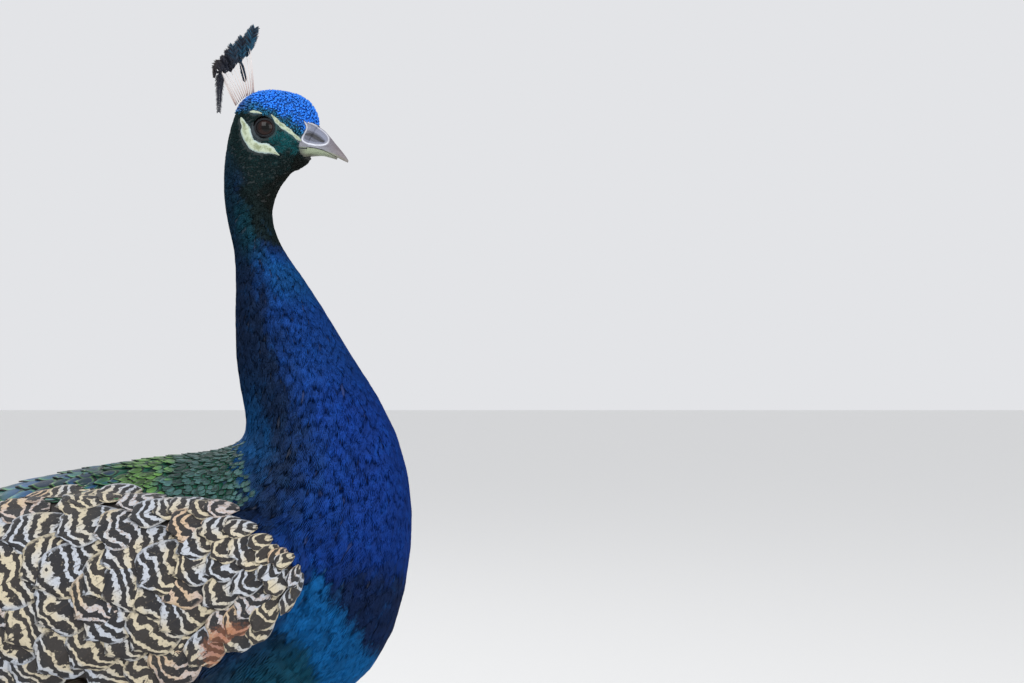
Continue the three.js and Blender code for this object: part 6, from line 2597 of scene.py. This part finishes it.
@dataclass(frozen=True)
class ClawHorn(Finish):
    """Dark horn, paler and worn towards the point."""

    root: Colour = linear(62, 54, 48)
    point: Colour = linear(136, 124, 108)

    def look(self, tree: Tree) -> dict[str, Any]:
        """Grain along the horn."""
        grain = tree.noise(tree.vector(tree.named("along") * 5, tree.place(), 0.0), 0.5)
        share = (tree.named("along") + (grain - 0.5) * 0.5).step(0.35, 1.1)
        return {"Base Color": tree.mix(share, self.root, self.point), "Height": grain}


@dataclass
class Leg(Ground):
    """One shank with its toes as one skin, its scutes, claws and spur."""

    side: str
    voxel: float = 1.15
    depth: float = 0.5
    passes: int = 10
    sole: float = 0.15  # the lowest that the skin reaches
    rise: float = 14.0  # how far its top runs up into the thigh
    rise_run: tuple = (144, 161)  # z over which it does
    foot_top: float = 13.0  # below this z the unwrap is the foot's
    core: tuple = ((5, 4), (24, -3), (54, -13), (150, -50))  # z and how far ahead the unwrap's middle is
    apart: float = 50.0
    ball: tuple = (12.0, 16.0)  # the toes' root along X at mid stride, and how far the right foot is ahead
    shank: tuple = (
        # ahead, z, half length fore and aft, half width
        (-49, 162, 8, 7), (-50, 150, 9.4, 8.2), (-44, 136, 7, 5.8), (-28, 96, 5.6, 4.9), (-13, 54, 5.4, 4.9),
        (-3, 24, 6.8, 7), (2, 11, 8.6, 9), (4, 5, 7.6, 8),
    )
    toes: tuple = (
        # name, degrees outwards, length, root and tip radius
        ("inner", -30, 50, 5.6, 4.2), ("middle", 2, 68, 6.0, 4.4), ("outer", 34, 54, 5.6, 4.2),
        ("hind", 192, 27, 4.8, 3.6),
    )
    claw: tuple = (14.0, 2.0, 3.1, 0.5)  # length, how deep it is set in, root and tip radius
    spur: tuple = (3.52, 20.0, 4.0, 4.4, 0.8)  # place on the shank, length, set, root and tip radius
    scute_run: tuple = (152.0, 14.0, -4.3)  # z of the shank's first and last scutes, and the step between
    scute: tuple = (6.0, 4.4, 0.45)  # length, width and thickness of the small ones round the shank
    front_broad: float = 1.75  # the front ones' width, for each millimetre of the shank's half width
    toe_scute: tuple = (4.4, 1.5, 0.45)  # length, width for each millimetre of radius, and thickness
    side_scute: tuple = (3.6, 3.2, 0.4)  # length, width and thickness of those on a toe's sides
    toe_step: float = 3.0  # between the scutes along a toe
    DOWN = np.array([-0.15, 0.0, -1.0])  # the way that the shank's scutes point
    ray: float = 30.0  # how far from a limb's middle the scutes are dropped on it

    @property
    def sign(self) -> int:
        """The sign of Y on this side."""
        return SIDES[self.side]

    @property
    def foot(self) -> Array:
        """Where the toes meet, on the floor."""
        return np.array([self.ball[0] - self.sign * self.ball[1], self.sign * self.apart, 0.0])

    def heading(self, degrees: float, sign: int) -> Array:
        """A way along the floor, in degrees outwards from straight ahead."""
        return np.array([math.cos(math.radians(degrees)), sign * math.sin(math.radians(degrees)), 0.0])

    def build(self, planting: Planting) -> list[bpy.types.Object]:
        """Makes the skin, the scutes and the horn."""
        nodes = [f"shank_{self.side}"] + [f"toe_{self.side}_{toe[0]}" for toe in self.toes]
        mesh = self.remeshed(nodes, self.voxel)
        points = self.relaxed(mesh, 0.5, self.passes)
        normals = self.move(mesh, points)
        points = points - normals * self.depth
        points[:, 2] = np.maximum(points[:, 2], self.sole) + self.rise * smooth(points[:, 2], *self.rise_run)
        self.hold(mesh, points)
        off = points - self.foot
        low = off[:, 2] < self.foot_top
        heights, ahead = np.array(self.core).T
        turn = np.arctan2(off[:, 1], off[:, 0] - np.interp(off[:, 2], heights, ahead))
        up = self.normals[:, 2] > 0
        flat = off[:, :2] + np.where(up, 90.0, 260.0)[:, None]
        mesh_map = np.where(low[:, None], flat, np.column_stack([turn * 8, off[:, 2] - 200]))
        first = self.faces[:, :1]
        self.unwrap(mesh, mesh_map[first] + 0.3 * (points[self.faces] - points[first])[..., :2])
        mark(mesh, "tint", np.full(len(points), 0.5), Kind.NUMBER)
        self.piece = Scutes("leg_skin", roughness=0.6, relief=0.25).dress(object_of(f"leg_{self.side}", mesh))
        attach(self.piece, BODY)
        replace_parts(self.piece, *nodes)
        scutes = self.scutes(planting)
        claws = [self.claw_of(toe) for toe in self.toes]
        return [self.piece, scutes, *claws, self.spur_of()]

    def scutes(self, planting: Planting) -> bpy.types.Object:
        """Broad plates down the front of the shank and over the toes, and small scales round them."""
        at, ways, sizes = [], [], []

        def add(origin: Array, way: Array, lie: Array, size: tuple) -> None:
            """Sets one scute where a ray meets the leg."""
            found = self.land(origin, way)
            if found is not None:
                at.append(found[0])
                ways.append(lie)
                sizes.append(size)

        for k, z in enumerate(np.arange(*self.scute_run)):
            ahead, _, _, wide = row_at(np.array(self.shank), self.shank_place(z))[0]
            middle = self.foot + np.array([ahead, 0.0, z])
            for turn in [0.0] + [t + 13 * (k % 2) for t in range(60, 301, 36)]:
                way = self.heading(turn, 1)
                broad = self.front_broad * wide if turn == 0 else self.scute[1]
                add(middle + way * self.ray, -way, self.DOWN, (self.scute[0], broad, self.scute[2]))
        for _, degrees, length, root, tip in self.toes:
            way = self.heading(degrees, self.sign)
            side = np.array([-way[1], way[0], 0.0])
            for run in np.arange(7.0, length - 1, self.toe_step):
                radius = root + (tip - root) * run / length
                middle = self.foot + way * run + np.array([0.0, 0.0, radius * 0.8])
                above = middle + np.array([0, 0, self.ray])
                long, broad, thick = self.toe_scute
                add(above, np.array([0, 0, -1.0]), way, (long, radius * broad, thick))
                for hand in (-1, 1):
                    add(middle + side * hand * self.ray, -side * hand, way, self.side_scute)
        at, sizes = np.array(at), np.array(sizes)
        roots = self.roots_from(at, np.array(ways, float))
        poise = np.tile([0.0, self.scute[2]], (len(at), 1))
        piece = planting.plant(f"scutes_{self.side}", roots, sizes, poise, Form.SCALE,
                               Scutes("leg_scutes", roughness=0.5, relief=0.15),
                               Laying(0.05, 91, 2.5), self.piece)
        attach(piece, BODY)
        return piece

    def shank_place(self, z: float) -> float:
        """The place in the shank's table at some height."""
        heights = [row[1] for row in self.shank]
        return float(np.interp(-z, [-h for h in heights], np.arange(len(heights))))

    def horn(self, name: str, path: Array, radii: Array, node: str) -> bpy.types.Object:
        """A tapered horn along a path, in the place of its node."""
        piece = solid(tube(path, radii, 14).mesh(name))
        ClawHorn("claw_horn", roughness=0.35, relief=0.1, coat=0.1).dress(piece)
        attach(piece, BODY)
        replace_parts(piece, node)
        return piece

    def claw_of(self, toe: tuple) -> bpy.types.Object:
        """A toe's claw, bent down to the floor."""
        name, degrees, length, _, tip = toe
        long, into, thick, thin = self.claw
        way = self.heading(degrees, self.sign)
        t = np.linspace(0, 1, 14)
        path = self.foot + way * (length - into + (long + into) * t)[:, None]
        path[:, 2] = tip * (1 - t ** 1.8) + thin
        radius = thick * (1 - t) ** 0.8 + thin * t
        return self.horn(f"horn_{self.side}_{name}", path, np.column_stack([radius, radius * 0.8]),
                         f"claw_{self.side}_{name}")

    def spur_of(self) -> bpy.types.Object:
        """The spur, back and inwards."""
        place, length, into, thick, thin = self.spur
        ahead, z, _, _ = row_at(np.array(self.shank), place)[0]
        way = unit((self.heading(160, -self.sign) + np.array([0, 0, 0.1]))[None])[0]
        t = np.linspace(0, 1, 14)[:, None]
        bend = np.array([0, 0, 4.0]) * t ** 2
        path = self.foot + np.array([ahead, 0.0, z]) + way * (length + into) * t + bend
        radius = (thick * (1 - t) + thin * t)[:, 0]
        return self.horn(f"horn_spur_{self.side}", path, radius, f"spur_{self.side}")


# ------------------------------------------------------------------ stage
@dataclass
class Studio:
    """The camera, soft lights and a plain pale floor."""

    target: tuple = (259.0, 0.0, 508.0)
    distance: float = 1650.0
    frame_width: float = 799.0  # that the camera takes in at the target
    sensor: float = 36.0
    clip: tuple = (0.05, 100)
    azimuth: float = 0.0
    elevation: float = 0.0
    middle: tuple = (0.5, 0.0, 0.4)  # where the lamps are aimed
    lamps: tuple = (
        # name, place, size, power
        ("key", (0.2, -2.2, 2.4), 1.8, 40),
        ("front", (2.9, -1.6, 1.3), 1.6, 18),
        ("rear", (-1.6, 1.8, 2.2), 1.8, 25),
    )
    sky: tuple = (0.96, 0.97, 1.0, 1.0)
    sky_strength: float = 0.8
    floor: float = 14000.0  # half its side
    floor_sink: float = 0.0005

    def camera(self) -> None:
        """Sets the camera level with the neck, square to the bird's right side."""
        data = bpy.data.cameras.new("camera")
        camera = bpy.data.objects.new("camera", data)
        bpy.context.scene.collection.objects.link(camera)
        bpy.context.scene.camera = camera
        turn, rise = math.radians(self.azimuth), math.radians(self.elevation)
        target = Vector(to_frame(np.array(self.target)))
        back = Vector((math.sin(turn) * math.cos(rise), -math.cos(turn) * math.cos(rise), math.sin(rise)))
        camera.location = target + back * self.distance * MM
        camera.rotation_euler = (-back).to_track_quat("-Z", "Y").to_euler()
        data.sensor_width = self.sensor
        data.lens = self.sensor * self.distance / self.frame_width
        data.clip_start, data.clip_end = self.clip

    def light(self, name: str, at: tuple, aim: tuple, size: float, power: float) -> None:
        """A soft square light, in metres, aimed at a point."""
        data = bpy.data.lights.new(name, "AREA")
        data.size, data.energy = size, power
        lamp = bpy.data.objects.new(name, data)
        bpy.context.scene.collection.objects.link(lamp)
        lamp.location = Vector(at)
        lamp.rotation_euler = (Vector(aim) - Vector(at)).to_track_quat("-Z", "Y").to_euler()

    def build(self) -> None:
        """Makes the stage."""
        self.camera()
        for name, at, size, power in self.lamps:
            self.light(name, at, self.middle, size, power)
        world = bpy.data.worlds.new("studio")
        bpy.context.scene.world = world
        world.use_nodes = True
        back = world.node_tree.nodes["Background"]
        back.inputs[0].default_value = self.sky
        back.inputs[1].default_value = self.sky_strength
        bpy.context.scene.view_settings.view_transform = "Standard"
        half = self.floor
        corners = np.array([[-half, -half, 0], [half, -half, 0], [half, half, 0], [-half, half, 0]], float)
        floor = object_of("floor", mesh_of("floor", corners, [[0, 1, 2, 3]]))
        floor.location.z = -self.floor_sink
        pale = bpy.data.materials.new("pale_floor")
        pale.use_nodes = True
        inputs = pale.node_tree.nodes["Principled BSDF"].inputs
        inputs["Base Color"].default_value = (0.84, 0.84, 0.83, 1)
        inputs["Roughness"].default_value = 0.8
        floor.data.materials.append(pale)


def main() -> None:
    """Builds the peacock piece by piece."""
    logging.basicConfig(level=logging.INFO, format="%(message)s")
    Studio().build()
    skin = Skin()
    skin.build()
    LOG.info("skin: %d faces", len(skin.faces))
    planting = Planting()
    for coat in COATS:
        report(coat.grow(planting, skin))
    report(Back().build(planting, skin))
    for side in SIDES:
        wing = Wing(side)
        report(wing.coverts(planting, skin), wing.primaries(planting, skin))
        eye = Eye(side)
        report(eye.ball(), eye.lids(skin), Face(side).build(skin))
    report(*Bill().build(skin))
    report(*Crest().build())
    report(*Train().build(planting))
    report(*Tail().build(planting))
    for side in SIDES:
        report(*Leg(side).build(planting))
    FORMS.clear()


def report(*pieces: bpy.types.Object) -> None:
    """Logs how many triangles some pieces have."""
    for piece in pieces:
        count = sum(len(face.vertices) - 2 for face in piece.data.polygons)
        LOG.info("%s: %d triangles", piece.name, count)


if __name__ == "__main__":
    main()
